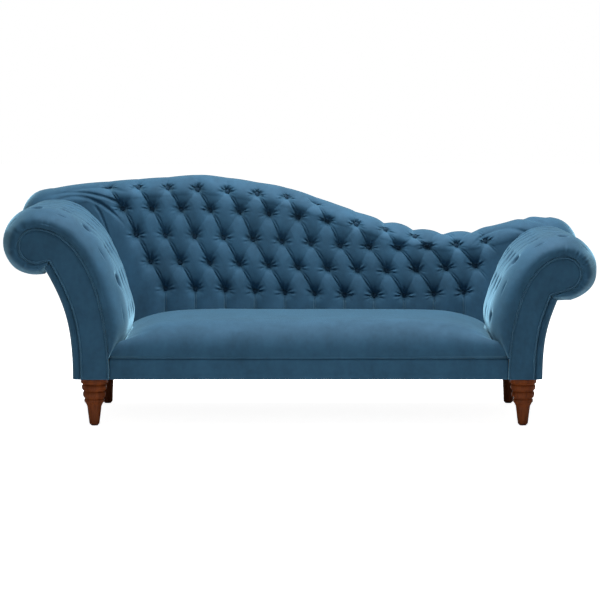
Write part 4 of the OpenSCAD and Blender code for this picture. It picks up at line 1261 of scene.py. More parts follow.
@dataclass(frozen=True)
class Fold:
    """Long fold that sweeps over a wing, from the outermost buttons towards the arm."""
    start: float
    height: float
    end: float
    end_height: float
    bow: float
    depth: float
    width: float

    def depth_at(self, x: Array, z: Array) -> Array:
        """Depth of the fold: a bell of the height above its line, faded at both ends.

        With t the share from start to end, the line is 4 bow t (1 - t) above the straight one.

        Args:
            x: Places across.
            z: Heights.

        Returns:
            The depth at each point.
        """
        over = 0.2
        share = np.clip((x - self.start) / (self.end - self.start), -over, 1 + over)
        line = mix(self.height, self.end_height, share) + self.bow * 4 * share * (1 - share)
        faded = smooth((share + over) / 0.35) * smooth((1 + over - share) / 0.35)
        return self.depth * bell(z - line, self.width) * faded


@dataclass(frozen=True)
class Back:
    """The serpentine back: tufted padding with its crest roll and wings, buttons, outside panel."""
    crest_low: float = 0.683
    left_wing_rise: float = 0.182
    right_wing_rise: float = 0.170
    roll_front: float = 0.105
    button_depth: float = 0.035
    bottom_rise: float = 0.078
    crest_cover: float = 0.063
    rail_height: float = 0.055
    tuck_margin: float = 0.006
    tuck_limit: float = 0.97
    wing_turn: float = math.radians(75)
    wing_shoulder: float = 0.25
    crest_gap: float = 0.014
    row_squeeze: float = 0.008
    outside_thickness: float = 0.006
    outside_fullness: float = 0.0022
    outside_unevenness: float = 0.0008
    unevenness: float = 0.0018
    row_gap: float = 0.100
    half_pitch: float = 0.0578
    # the crest's knots: shares of the way from scroll to scroll, and of the crest's height
    crest_places: tuple[float, ...] = (0, 0.04, 0.13, 0.22, 0.30, 0.40, 0.48, 0.56, 0.66, 0.76, 0.83,
                                       0.91, 0.96, 1)
    crest_shares: tuple[float, ...] = (0.90, 0.96, 1, 0.89, 0.75, 0.52, 0.22, 0.02, 0, 0.13)
    # the button rows, from the top: first and last button, count, height and sag
    first_shares: tuple[float, ...] = (-0.534, -0.495, -0.458, -0.420, -0.379)
    last_shares: tuple[float, ...] = (0.022, 0.284, 0.472, 0.445, 0.414)
    counts: tuple[int, ...] = (8, 11, 13, 12, 11)
    rise_shares: tuple[float, ...] = (0.908, 0.748, 0.549, 0.347, 0.146)
    sag_shares: tuple[float, ...] = (0.136, 0.160, 0.098, 0.072, 0.057)
    low_shares: tuple[float, ...] = (0.216, 0.318, 0.216, 0.216, 0.216)
    sag_reach: tuple[float, float] = (0.371, 0.259)
    # half steps at which the folds of each row end, and the two upper rows give way to the next
    last_places: tuple[int, ...] = (26, 26, 26, 25, 24)
    stretch_ends: tuple[float, float] = (15.2, 21.2)
    stretch_ease: float = 0.028
    far_side: float = 0.090
    scallops: tuple[float, float] = (0.16, 0.80)
    # each fold's start and height, end and height, bow, depth and width
    wing_folds: tuple[Fold, ...] = (
        Fold(-0.960, 0.826, -0.690, 0.786, 0.024, 0.0080, 0.0060),
        Fold(-0.930, 0.812, -0.715, 0.740, 0.034, 0.0070, 0.0075),
        Fold(-0.900, 0.842, -0.700, 0.842, 0.010, 0.0050, 0.0060),
        Fold(-0.800, 0.780, -0.740, 0.640, 0.020, 0.0060, 0.0070),
        Fold(0.700, 0.700, 0.960, 0.712, 0.030, 0.0075, 0.0065),
        Fold(0.700, 0.655, 0.900, 0.672, 0.030, 0.0065, 0.0075),
        Fold(0.690, 0.725, 0.900, 0.752, 0.006, 0.0040, 0.0060))
    # grid of the padding: sections across, and places on each from the foot round to the tuck
    columns: int = 700
    wing_columns: int = 44
    fan: int = 30
    tuck_fan: int = 6
    front_rows: int = 168
    roll_rows: int = 44
    rear_rows: int = 14
    tuck_rows: int = 6

    @property
    def rows(self) -> int:
        """Number of button rows."""
        return len(self.counts)

    def centre(self, arm: Arm) -> tuple[float, float]:
        """Centre of an arm's scroll."""
        return arm.edge + arm.side * arm.reach, COUCH.frame_height + arm.rise

    def crest(self, x: Array) -> Array:
        """Height of the crest: a Hermite curve through knots, with slopes from their neighbours.

        Between two knots a width w apart the height is
        u^2 (1 + 2 t) a + u^2 t w p + t^2 (1 + 2 u) b - t^2 u w q, with u = 1 - t.

        Args:
            x: Places across.

        Returns:
            The crest's height at each place.
        """
        left, right = self.centre(LEFT_ARM), self.centre(RIGHT_ARM)
        left_z, right_z = left[1] + self.left_wing_rise, right[1] + self.right_wing_rise
        places = mix(left[0], right[0], np.array(self.crest_places))
        middle = mix(self.crest_low, COUCH.crest_high, np.array(self.crest_shares))
        knots = np.concatenate([[left_z, mix(left_z, COUCH.crest_high, self.wing_shoulder)], middle,
                                [right_z, right_z - 0.003]])
        ahead, behind = np.arange(len(knots)) + 1, np.arange(len(knots)) - 1
        ahead, behind = np.clip(ahead, 0, len(knots) - 1), np.clip(behind, 0, len(knots) - 1)
        slopes = (knots[ahead] - knots[behind]) / (places[ahead] - places[behind])
        k = np.clip(np.searchsorted(places, x, side="right") - 1, 0, len(knots) - 2)
        w = places[k + 1] - places[k]
        t = np.clip((x - places[k]) / w, 0, 1)
        u = 1 - t
        return (u * u * (1 + 2 * t) * knots[k] + u * u * t * w * slopes[k]
                + t * t * (1 + 2 * u) * knots[k + 1] - t * t * u * w * slopes[k + 1])

    def row_start(self, row: int) -> float:
        """Place across of a row's first button."""
        return COUCH.seat_middle + self.first_shares[row] * COUCH.seat_width

    def row_step(self, row: int) -> float:
        """Half the distance between a row's buttons."""
        spread = self.last_shares[row] - self.first_shares[row]
        return spread * COUCH.seat_width / (2 * (self.counts[row] - 1))

    def row_height(self, x: Array, row: int) -> Array:
        """Height of a button row: level, less a bell-shaped sag, and kept below the crest.

        Args:
            x: Places across.
            row: The row, from the top.

        Returns:
            The row's height at each place.
        """
        low = COUCH.seat_middle + self.low_shares[row] * COUCH.seat_width
        spread = np.where(x < low, self.sag_reach[0], self.sag_reach[1]) * COUCH.seat_width
        share = self.rise_shares[row] - self.sag_shares[row] * np.exp(-np.square((x - low) / spread))
        free = COUCH.seat_top + (COUCH.crest_high - COUCH.seat_top) * share
        return np.minimum(free, self.crest(x) - self.crest_gap - (2 * row + 1) * self.row_squeeze)

    def foot(self, x: Array) -> Array:
        """Height at which the padding starts: over the arms' edges, or the bottom between them.

        Args:
            x: Places across.

        Returns:
            The height at each place.
        """
        low = np.full(np.shape(x), COUCH.seam + self.bottom_rise)
        for arm in (LEFT_ARM, RIGHT_ARM):
            t = np.linspace(0, 1, 300)
            path = arm.inner(t) + path_normals(arm.inner(t)) * COUCH.foot_gap
            out = arm.side * (x - arm.edge)
            over = COUCH.frame_height + np.interp(out, path[:, 0], path[:, 1])
            low = np.where(out < 0, low, np.maximum(low, over))
        return low

    def wing(self, arm: Arm) -> tuple[Array, Array, Array]:
        """Sections of a wing, from the one on its arm's tuck, round the scroll to its top.

        Args:
            arm: The arm that the wing stands on.

        Returns:
            The foot, direction and height of each, in (x, z).
        """
        angle = np.linspace(arm.arc_end, math.pi / 2, self.fan + 1)
        way = np.stack([arm.side * np.cos(angle), np.sin(angle)], axis=1)
        foot = np.array(self.centre(arm)) + (arm.radius + COUCH.foot_gap) * way
        top = self.left_wing_rise if arm.side < 0 else self.right_wing_rise
        end = np.where(angle > 0, arm.pad_outer,
                       mix(arm.pad_outer, arm.pad_tuck, angle / arm.arc_end))
        high = mix(end, top - arm.radius, smooth(angle / self.wing_turn)) - COUCH.foot_gap
        lead = arm.tuck_lead * np.array([arm.side, 1.0])
        size = float(np.linalg.norm(lead))
        tuck_way = lead / size
        tuck_foot = arm.placed(arm.tuck, 0.0)[[0, 2]] + tuck_way * COUCH.foot_gap
        share = np.linspace(0, 1, self.tuck_fan + 1)[:-1, None]
        turned = mix(tuck_way, way[0], share)
        turned /= np.linalg.norm(turned, axis=1, keepdims=True)
        tuck_high = mix(size * arm.outside_gap - COUCH.foot_gap, high[0], share[:, 0])
        return (np.concatenate([mix(tuck_foot, foot[0], share), foot]),
                np.concatenate([turned, way]), np.concatenate([tuck_high, high]))

    def spokes(self) -> tuple[Array, Array, Array]:
        """Sections of the padding: fanned round each scroll, upright between them.

        Returns:
            The foot, direction and height of each, in (x, z).
        """
        feet, ways, highs = [], [], []
        for arm in (LEFT_ARM, RIGHT_ARM):
            order = slice(None, -1) if arm.side < 0 else slice(-2, None, -1)
            for gathered, values in zip((feet, ways, highs), self.wing(arm)):
                gathered.append(values[order])
        # the sections stand closest between the outermost buttons
        ends = (self.row_start(1) - 0.05,
                self.row_start(2) + 2 * (self.counts[2] - 1) * self.row_step(2) + 0.06)
        x = np.concatenate([
            np.linspace(self.centre(LEFT_ARM)[0], ends[0], self.wing_columns)[:-1],
            np.linspace(*ends, self.columns),
            np.linspace(ends[1], self.centre(RIGHT_ARM)[0], self.wing_columns)[1:]])
        foot = np.stack([x, self.foot(x)], axis=1)
        way = np.tile([0.0, 1.0], (len(x), 1))
        high = self.crest(x) - foot[:, 1]
        return (np.concatenate([feet[0], foot, feet[1]]), np.concatenate([ways[0], way, ways[1]]),
                np.concatenate([highs[0], high, highs[1]]))

    def tucked(self, high: Array) -> Array:
        """How far below its top a section of a height is tucked in behind."""
        return np.minimum(self.crest_cover + self.rail_height + self.tuck_margin,
                          self.tuck_limit * high)

    def outer_side(self, foot: Array, way: Array, high: Array) -> tuple[Array, Array]:
        """The side of the sections that shows, from the foot up the face and over to the tuck.

        The roll is a quarter ellipse in front and another behind: from the top it falls by
        h (1 - sin) and h (1 - cos), as the depth runs by g (1 - cos) and g sin.

        Args:
            foot: Foot of each section, in (x, z).
            way: Its direction, in (x, z).
            high: Its height.

        Returns:
            The distance up each section and the depth, at each place.
        """
        roll = COUCH.roll_height
        start = np.arcsin(np.clip(1 - high / roll, 0, 1))
        top_of_face = np.maximum(high - roll, 0)
        face_d = top_of_face[:, None] * np.linspace(0, 1, self.front_rows)[None, :-1]
        turn = mix(start[:, None], math.pi / 2, np.linspace(0, 1, self.roll_rows)[None])
        roll_d = high[:, None] - roll * (1 - np.sin(turn))
        roll_z = foot[:, 1] + way[:, 1] * (high - roll)
        front = COUCH.face(roll_z)[:, None]
        face_z = foot[:, 1, None] + way[:, 1, None] * face_d
        face_y = COUCH.face(face_z)
        upright = way[:, 1, None] > 0.999
        face_y = np.where(upright, face_y, np.maximum(face_y, front))
        roll_y = front + self.roll_front * (1 - np.cos(turn))
        rear_turn = np.linspace(0, math.pi / 2, self.rear_rows + 1)[None, 1:]
        rear_drop = np.minimum(roll, 0.7 * high)[:, None]
        rear_d = high[:, None] - rear_drop * (1 - np.cos(rear_turn))
        rear_y = front + self.roll_front + (COUCH.roll_depth - self.roll_front) * np.sin(rear_turn)
        wrap = COUCH.rear_plane + self.outside_thickness + COUCH.clearance
        tuck_turn = np.linspace(0, math.pi / 2, self.tuck_rows + 1)[None, 1:]
        tuck_d = high[:, None] - mix(rear_drop, self.tucked(high)[:, None], np.sin(tuck_turn))
        tuck_y = mix(wrap, front + COUCH.roll_depth, np.cos(tuck_turn))
        return (np.concatenate([face_d, roll_d, rear_d, tuck_d], axis=1),
                np.concatenate([face_y, roll_y, rear_y, tuck_y], axis=1))

    def inner_side(self, foot: Array, way: Array, high: Array) -> tuple[Array, Array]:
        """The hidden side of the sections: under the crest rail's cover, and down the webbing.

        Args:
            foot: Foot of each section, in (x, z).
            way: Its direction, in (x, z).
            high: Its height.

        Returns:
            The distance up each section and the depth, at each of three places.
        """
        cover = np.minimum(self.crest_cover, 0.6 * high)[:, None]
        under = high[:, None] - cover
        cover_z = foot[:, 1, None] + way[:, 1, None] * under
        behind = COUCH.back_thickness - COUCH.clearance
        return (np.concatenate([under, under, np.zeros_like(cover)], axis=1),
                np.concatenate([np.full_like(cover, COUCH.rear_plane + COUCH.clearance),
                                COUCH.face(cover_z) + behind,
                                COUCH.face(foot[:, 1, None]) + behind], axis=1))

    def section(self) -> tuple[Array, int]:
        """Smooth closed sections of the padding.

        A section's point lies its distance up from the foot, and at its depth.

        Returns:
            The points as (section, place, 3), and the number of places that show.
        """
        foot, way, high = self.spokes()
        outer, inner = self.outer_side(foot, way, high), self.inner_side(foot, way, high)
        up, y = (np.concatenate(sides, axis=1) for sides in zip(outer, inner))
        flat = foot[:, None] + way[:, None] * up[..., None]
        return grid(flat[..., 0], y, flat[..., 1]), outer[0].shape[1]

    def tufting(self) -> Tufting:
        """The back's buttoning."""
        return Tufting(self.button_depth, self.half_pitch, self.row_gap, seed=5)

    def dent(self, points: Array, crest_run: Array) -> Array:
        """Depth of the tufts below the smooth padding, at the sections' points that show.

        Between the button rows the lattice is blended from row to row. Above the uppermost
        buttons of a stretch a pleat runs straight up out of each pit and over the crest.

        Args:
            points: Points of the smooth padding.
            crest_run: Length along each section from its foot, less that at the crest.

        Returns:
            The depth at each point.
        """
        x = points[:, 0, 0]
        heights = np.stack([self.row_height(x, row) for row in range(self.rows)], axis=1)
        limits = [self.row_start(k) + end * self.row_step(k) for k, end in enumerate(self.stretch_ends)]
        first, second = (smooth((limit - x) / self.stretch_ease + 0.5) for limit in limits)
        total = np.zeros(crest_run.shape)
        for top, weight in enumerate((first, second * (1 - first), 1 - second)):
            total += weight[:, None] * self.one_stretch(points, crest_run, heights, top)
        return total

    def one_stretch(self, points: Array, crest_run: Array, heights: Array, top: int) -> Array:
        """Tufts of a stretch whose uppermost buttons are those of one row.

        Args:
            points: Points of the smooth padding.
            crest_run: Length along each section, nought at the crest.
            heights: Heights of the rows at each section.
            top: The uppermost row.

        Returns:
            The depth at each point.
        """
        x, z, tufts = points[..., 0], points[..., 2], self.tufting()
        before = crest_run <= 0
        lowest = self.rows - 1
        row = np.full(x.shape, float(top))
        for k in range(top, lowest):
            gap = np.maximum(heights[:, k] - heights[:, k + 1], 1e-4)[:, None]
            row = row + np.clip((heights[:, k, None] - z) / gap, 0, 1)
        over = (z > heights[:, top, None]) | ~before
        run_top = self.run_at(crest_run, z, heights[:, top], before)
        climb = np.where(before, np.clip((crest_run - run_top) / np.maximum(-run_top, 1e-3), 0, 1),
                         1 + crest_run / self.far_side)
        # where the low crest has no row of its own, the diamonds close at it
        if top == 2:
            row = np.where(over, top - np.clip(climb, 0, 1), row)
        along = self.along_row(x, row)
        a, b = (along + row) / 2, (along - row) / 2
        side, down = tufts.nearest(a, b)
        below = np.where(before, np.maximum(heights[:, lowest, None] - z, 0), 0)
        top_side = self.nearest((x - self.row_start(top)) / self.row_step(top)) * tufts.half_pitch
        side = np.where(over, top_side, side)
        down = np.where(over, run_top - crest_run, down + below)
        # below the lowest buttons a crease runs straight down from each
        low_crease = 1.5 * tufts.crease_depth * bell(side, tufts.crease_width)
        folds = tufts.folds(a, b) + low_crease * smooth((below - 0.010) / 0.012)
        # the folds fade on the high crest, and run over the low one
        scallop = smooth((x - self.scallops[0]) / 0.22) * smooth((self.scallops[1] - x) / 0.1)
        kept = mix(mix(0.08, 1.0, scallop), 1.0, 1 - smooth(climb / 0.75)) * smooth(2.0 - climb)
        rays = tufts.rays(a, b, side, down)
        dent = tufts.pits(side, down) + folds * np.where(over, kept, 1.0) + rays
        return dent * self.force(along, row)

    def along_row(self, x: Array, row: Array) -> Array:
        """Half steps along the lattice, blended between the rows above and below.

        Args:
            x: Places across.
            row: The row at each, from the top, which may lie between two rows.

        Returns:
            The half steps at each point.
        """
        rows = np.arange(self.rows)
        steps = np.array([self.row_step(one) for one in rows])
        origins = np.array([self.row_start(one) for one in rows]) - rows * steps
        k = np.clip(np.floor(row), 0, self.rows - 2).astype(int)
        share = row - k
        return (x - mix(origins[k], origins[k + 1], share)) / mix(steps[k], steps[k + 1], share)

    @staticmethod
    def nearest(steps: Array) -> Array:
        """Half pitches from the nearest button of a row, with the steps from its first one."""
        return steps - 2 * np.round(steps / 2)

    @staticmethod
    def run_at(run: Array, z: Array, wanted: Array, before: Array) -> Array:
        """Length along each section at which it reaches a height, before the crest."""
        under = np.where(before & (z <= wanted[:, None]), run, -1e9)
        return np.max(under, axis=1)[:, None]

    def force(self, along: Array, row: Array) -> Array:
        """How far the tufting is in force: one over the rows, nought beyond their outer buttons.

        Args:
            along: Half steps along the row.
            row: The row, from the top.

        Returns:
            The share at each point.
        """
        last = np.interp(row, np.arange(self.rows), self.last_places)
        left = smooth((along - row + 1.25) / 1.1)
        right = smooth((last + 1.25 - along) / 1.1)
        return left * right

    def build_pad(self) -> None:
        """Tufted padding with its crest roll and both wings, as one closed piece."""
        points, shown = self.section()
        front = points[:, :shown]
        run = lengths(front.swapaxes(0, 1)).T
        at_crest = self.front_rows - 1 + self.roll_rows - 1
        run = run - run[:, at_crest, None]
        normal = grid_normals(front)
        # the normals point out of the padding, forwards on its face
        if normal[len(normal) // 2, self.front_rows // 8, 1] > 0:
            normal = -normal
        upright = np.zeros((len(front), 1))
        upright[self.fan + self.tuck_fan:-self.fan - self.tuck_fan] = 1
        x, z = front[..., 0], front[..., 2]
        slow = self.unevenness * noise(x * 13, z * 13 + front[..., 1] * 9, 31)
        long_folds = sum(fold.depth_at(x, z) for fold in self.wing_folds)
        dent = self.dent(front, run) * upright + slow + long_folds
        start = smooth(np.arange(shown) / 4)[None]
        end = smooth((shown - 1 - np.arange(shown)) / 6)[None]
        moved = front - self.pull(normal) * (dent * start * end)[..., None]
        rings = np.concatenate([moved, points[:, shown:]], axis=1)
        add_loft(rings, "back_padding", Finish.VELVET, "back_pad")

    @staticmethod
    def pull(normal: Array) -> Array:
        """Direction of the buttons' pull: straight back on the face, the normal over the crest.

        Args:
            normal: Unit normals of the smooth padding.

        Returns:
            The unit directions, which point out of the padding.
        """
        straight = smooth((-normal[..., 1:2] - 0.25) / 0.45)
        way = mix(normal, np.array([0.0, -1.0, 0.0]), straight)
        return way / np.maximum(np.linalg.norm(way, axis=-1, keepdims=True), 1e-9)

    def build_buttons(self) -> None:
        """Covered buttons at the lattice's whole places, each facing out of its pit."""
        made, button = Surface(), Button()
        for row in range(self.rows):
            x = self.row_start(row) + 2 * self.row_step(row) * np.arange(self.counts[row])
            z = self.row_height(x, row)
            crest = self.crest(x)
            rise = np.clip(1 - (crest - z) / COUCH.roll_height, 0, 0.98)
            fall = self.roll_front * (1 - np.sqrt(1 - rise ** 2))
            y = COUCH.face(np.minimum(z, crest - COUCH.roll_height)) + fall
            lean = math.radians(COUCH.back_lean)
            steep = np.arctan2(self.roll_front * rise, COUCH.roll_height * np.sqrt(1 - rise ** 2))
            tilt = np.maximum(lean * (rise <= 0), steep)
            normal = grid(0.0, -np.cos(tilt), np.sin(tilt))
            sunk = self.pull(normal) * (self.button_depth + button.sunk)
            places = grid(x, y, z) - sunk
            facing = self.pull(normal) + 0.25 * normal
            facing /= np.linalg.norm(facing, axis=1, keepdims=True)
            for place, way in zip(places, facing):
                made.loft(button.rings_at(place, way))
        add(made.piece("back_covered_buttons"), Finish.SHADED_BUTTON, ["back_buttons"])

    def outside_outlines(self) -> tuple[Array, Array]:
        """Outlines of the outside panel: below the arms' sides, above the padding's tuck.

        Returns:
            The lower and the upper outline, as points (x, z) from the left to the right.
        """
        lower, upper = [], []
        for arm in (LEFT_ARM, RIGHT_ARM):
            path, lead = arm.outside_line(120)
            path = path + lead * arm.outside_gap
            path[-1, 1] = 0.0
            side = arm.placed(path, np.zeros(len(path)))[:, [0, 2]]
            foot, way, high = self.wing(arm)
            ring = foot + way * (high - self.tucked(high) - COUCH.clearance)[:, None]
            outermost = int(np.argmax(arm.side * ring[:, 0]))
            low = np.concatenate([side[::-1], ring[:outermost + 1]])
            lower.append(low if arm.side > 0 else low[::-1])
            upper.append(ring[outermost:] if arm.side < 0 else ring[outermost:][::-1])
        middle = np.linspace(upper[0][-1, 0] + 0.01, upper[1][0, 0] - 0.01, 200)
        tuck = self.tucked(self.crest(middle) - self.foot(middle))
        crest = np.stack([middle, self.crest(middle) - tuck - COUCH.clearance], axis=1)
        return np.concatenate(lower), np.concatenate([upper[0], crest, upper[1]])

    def build_outside(self) -> None:
        """Outside panel: columns between its lower and upper outlines, softly pillowed.

        The thickness and the fullness are soft steps of the distance from the panel's edge.
        """
        low, high = self.outside_outlines()
        ends = (low[0, 0] + 1e-4, low[-1, 0] - 1e-4)
        crowded = (1 - np.cos(np.linspace(0, math.pi, 160))) / 2
        x = np.unique(np.concatenate([mix(*ends, crowded), np.linspace(*ends, 240)]))
        order = np.argsort(low[:, 0], kind="stable")
        z_low = np.interp(x, low[order, 0], low[order, 1])
        z_high = np.maximum(np.interp(x, high[:, 0], high[:, 1]), z_low + 2e-4)
        share = np.linspace(0, 1, 60)
        z = mix(z_low[:, None], z_high[:, None], share[None])
        spread = np.broadcast_to(x[:, None], z.shape)
        edge = np.minimum.reduce([z - z_low[:, None], z_high[:, None] - z, spread - x[0],
                                  x[-1] - spread])
        pillow = (self.outside_fullness * smooth(edge / 0.10)
                  + self.outside_unevenness * noise(spread * 9, z * 9, 41))
        rear = COUCH.rear_plane + self.outside_thickness * smooth(0.35 + edge / 0.012) + pillow
        outer, inner = grid(spread, rear, z), grid(spread, COUCH.rear_plane, z)[:, ::-1]
        add_loft(np.concatenate([outer, inner], axis=1), "outside_back_velvet", Finish.VELVET,
                 "outside_back", weld=WELD)

    def build(self) -> None:
        """Builds the back's pieces in order."""
        self.build_pad()
        self.build_buttons()
        self.build_outside()


# Seat

@dataclass(frozen=True)
class Seat:
    """The tight sprung seat, its border band and the dust cover."""
    front_roll: float = 0.190
    side_drop: float = 0.046
    border_thickness: float = 0.008
    hessian: float = 0.0012
    lip: float = 0.010
    swell_lead: float = -0.001
    lap_front: float = 0.0010
    lap_rear: float = 0.0045
    lap_start: float = -0.36
    lap_run: float = 0.20
    edge_sink: float = 0.10
    crown_power: float = 8.0
    unevenness: float = 0.0022
    seam_ridge: float = 0.0016
    cloth_thickness: float = 0.0007

    @property
    def front(self) -> float:
        """Depth of the seat's front."""
        return COUCH.board_front + COUCH.clearance

    @property
    def low(self) -> float:
        """Height of the seat's underside, on the hessian."""
        return COUCH.seam + self.hessian + COUCH.clearance

    def top(self, y: Array) -> Array:
        """Height of the seat's middle line: a full curve up from the lip, then level.

        With t the share of the front roll, the rise is (1 - (1 - t)^2.6)^(1 / 2.1).

        Args:
            y: Depths.

        Returns:
            The height at each depth.
        """
        t = np.clip((y - self.front) / self.front_roll, 0, 1)
        rise = (1 - (1 - t) ** 2.6) ** (1 / 2.1)
        return self.low + self.lip + (COUCH.seat_top - self.low - self.lip) * rise

    def side(self, arm: Arm, y: Array, z: Array) -> Array:
        """Place across where the seat meets an arm's padding, a little inside its surface.

        Args:
            arm: The arm.
            y: Depths.
            z: Heights.

        Returns:
            The place across at each point.
        """
        swell = arm.swelling(z - COUCH.seam + self.swell_lead)
        tucked = mix(self.lap_front, self.lap_rear, smooth((y - self.lap_start) / self.lap_run))
        reach = np.maximum(0.0003, arm.pad_inner * swell * arm.fullness(y) * arm.thinning(0, y) - tucked)
        return arm.edge - arm.side * reach

    def build_pad(self) -> None:
        """Seat: crowned across, rolled at its front, and tucked between the arms and the back.

        With e the share of the way in from a side, the crown is 1 - (1 - e)^8.
        """
        low = self.low
        rear = float(COUCH.face(COUCH.seat_top)) - COUCH.clearance
        share = np.concatenate([np.linspace(0, 0.02, 8)[:-1], np.linspace(0.02, 0.30, 70)[:-1],
                                np.linspace(0.30, 1, 80)])
        y = mix(self.front, rear, share)[:, None]
        top = self.top(y)
        edge = top - self.side_drop * smooth(share[:, None] * 8) - (top - low) * self.edge_sink
        s = (1 - np.cos(np.linspace(0, math.pi, 260))) / 2
        e = np.minimum(s, 1 - s)[None] / 0.5
        z = mix(edge, top, 1 - (1 - e) ** self.crown_power)
        left, right = self.side(LEFT_ARM, y, edge), self.side(RIGHT_ARM, y, edge)
        x = mix(left, right, s[None])
        inside = smooth((top - low) / 0.08) * smooth(e / 0.15)
        slow = self.unevenness * noise(x * 3.1, y * 3.1, 51)
        z = z + inside * (slow + 0.0007 * noise(x * 11, y * 7, 52))
        z = z - 0.004 * inside * bell(y - (rear - 0.01), 0.03)
        crown = grid(x, y, z)
        # the foremost edge comes down over the hessian to the border's seam
        base = low - (self.hessian + 0.0001) * (1 - smooth((y + 0.4300) / 0.0012))
        walls = []
        for arm in (LEFT_ARM, RIGHT_ARM):
            level = np.linspace(0, 0.98, 14)[None]
            wall_z = mix(base, edge, level)
            walls.append(grid(self.side(arm, y, wall_z), y, wall_z))
        rings = np.concatenate([walls[0], crown, walls[1][:, ::-1]], axis=1)
        rings[-1, :, 1] = COUCH.face(rings[-1, :, 2]) - COUCH.clearance
        add_loft(rings, "seat_padding", Finish.VELVET, "seat_pad", Cap.FAN)

    def build_border(self) -> None:
        """Border band: a shallow bulge from the frame's underside up to the seam.

        With t the share of the height, the bulge is 1 - (2 t - 1)^6.
        """
        rail_front = self.front + self.border_thickness
        share = np.linspace(0, 1, 40)
        bulge = 1 - (2 * share - 1) ** 6
        z = mix(COUCH.frame_height, COUCH.seam, share)
        y = rail_front - self.border_thickness * (0.62 + 0.38 * bulge)
        y = y + self.seam_ridge * bell(share - 0.985, 0.02)
        profile = np.concatenate([np.stack([y, z], 1), [[rail_front, COUCH.seam],
                                                        [rail_front, COUCH.frame_height]]])
        edges = (LEFT_ARM.edge + COUCH.clearance, RIGHT_ARM.edge - COUCH.clearance)
        x = np.linspace(*edges, 240)
        points = grid(x[:, None], profile[None, :, 0], profile[None, :, 1])
        shown = len(share)
        inside = np.sin(math.pi * np.linspace(0, 1, len(profile)))[None, :shown]
        points[:, :shown, 1] += 0.0005 * noise(x[:, None] * 8, z[None] * 20, 61) * inside
        add_loft(points, "front_border_velvet", Finish.VELVET, "front_border", Cap.FAN)

    def build_dust_cover(self) -> None:
        """Dust cover: thin cloth stretched under the frame, with a slight sag between the rails."""
        front = self.front + self.border_thickness
        x = np.linspace(LEFT_ARM.edge, RIGHT_ARM.edge, 90)
        y = np.linspace(front, COUCH.rear_plane, 50)
        u, v = np.linspace(0, 1, 90)[:, None], np.linspace(0, 1, 50)[None]
        sag = 0.00006 * np.sin(math.pi * u) ** 0.5 * np.sin(math.pi * v) ** 0.5
        under = COUCH.frame_height - 0.0002 - self.cloth_thickness - sag
        lower = grid(x[:, None], y[None], under)
        upper = grid(x[:, None], y[None], under + self.cloth_thickness)[:, ::-1]
        piece = add_loft(np.concatenate([lower, upper], axis=1), "dust_cover_cloth", Finish.LINING,
                         "dust_cover")

    def build(self) -> None:
        """Builds the seat's pieces in order."""
        self.build_pad()
        self.build_border()
        self.build_dust_cover()


# Legs

@dataclass(frozen=True)
class Legs:
    """Two turned front legs and two plain tapered rear legs."""
    offset: float = 0.058
    glide: float = 0.004
    collar: float = 0.050
    front_foot: float = 0.0185
    foot_round: float = 0.003
    front_y: float = -0.390
    rear_y: float = 0.300
    rear_top: float = 0.068
    rear_shank: float = 0.050
    rear_foot: float = 0.038
    sides: int = 96
    # the front legs' turning: shares of the collar's radius, and of the height from the top
    turning: tuple[tuple[float, float], ...] = (
        (0.96, 0), (1, 0.02), (1, 0.085), (0.95, 0.10), (0.86, 0.115), (0.86, 0.13), (0.92, 0.15),
        (0.93, 0.20), (0.88, 0.24), (0.78, 0.265), (0.78, 0.28), (0.84, 0.30), (0.85, 0.35),
        (0.80, 0.40), (0.70, 0.425), (0.70, 0.44), (0.75, 0.46), (0.74, 0.50), (0.62, 0.545),
        (0.53, 0.60))

    def lathe(self, profile: Array, x: float, y: float) -> Array:
        """Rings of a turned leg: at each height a circle of the profile's radius.

        Args:
            profile: Radius and height, from the top down.
            x: Place across of the axis.
            y: Depth of the axis.

        Returns:
            The rings, as (height, side, 3).
        """
        angle = np.linspace(0, 2 * math.pi, self.sides, endpoint=False)
        radius = profile[:, :1]
        return grid(x + radius * np.cos(angle), y + radius * np.sin(angle), profile[:, 1:])

    def softened(self, corners: Array, count: int) -> Array:
        """A profile with its corners eased: points at equal lengths, averaged with their neighbours.

        Args:
            corners: Radius and height at each corner.
            count: Number of points wanted.

        Returns:
            The eased profile.
        """
        path = evenly(corners, count)
        for _ in range(2):
            path[1:-1] = (path[:-2] + 2 * path[1:-1] + path[2:]) / 4
        return path

    def front_profile(self) -> Array:
        """Rings under a collar, a neck and a long taper to the foot.

        Returns:
            Radius and height, from the top down.
        """
        high = COUCH.frame_height - self.glide
        rings = [(share * self.collar, self.glide + high * (1 - drop)) for share, drop in self.turning]
        foot = [(self.front_foot, self.glide + self.foot_round),
                (self.front_foot - self.foot_round, self.glide)]
        return self.softened(np.array(rings + foot), 220)

    def rear_profile(self) -> Array:
        """A flared top and a plain taper.

        Returns:
            Radius and height, from the top down.
        """
        high = COUCH.frame_height - self.glide
        t = np.linspace(0, 1, 14)
        flare = np.stack([mix(self.rear_top, self.rear_shank, smooth(t)) / 2,
                          self.glide + high * (1 - 0.05 - 0.19 * t)], axis=1)
        rest = np.array([(self.rear_foot / 2, self.glide + self.foot_round),
                         (self.rear_foot / 2 - self.foot_round, self.glide)])
        top = np.array([(self.rear_top / 2, self.glide + high)])
        return self.softened(np.concatenate([top, flare, rest]), 90)

    def build(self) -> None:
        """Builds the four legs."""
        for arm in (LEFT_ARM, RIGHT_ARM):
            x = arm.edge + arm.side * self.offset
            for row, profile, y in (("front", self.front_profile(), self.front_y),
                                    ("rear", self.rear_profile(), self.rear_y)):
                add_loft(self.lathe(profile, x, y), f"{arm.name}_{row}_turned_leg", Finish.TURNED,
                         f"{arm.name}_{row}_leg", cap=Cap.FAN)


# Carcass and studio

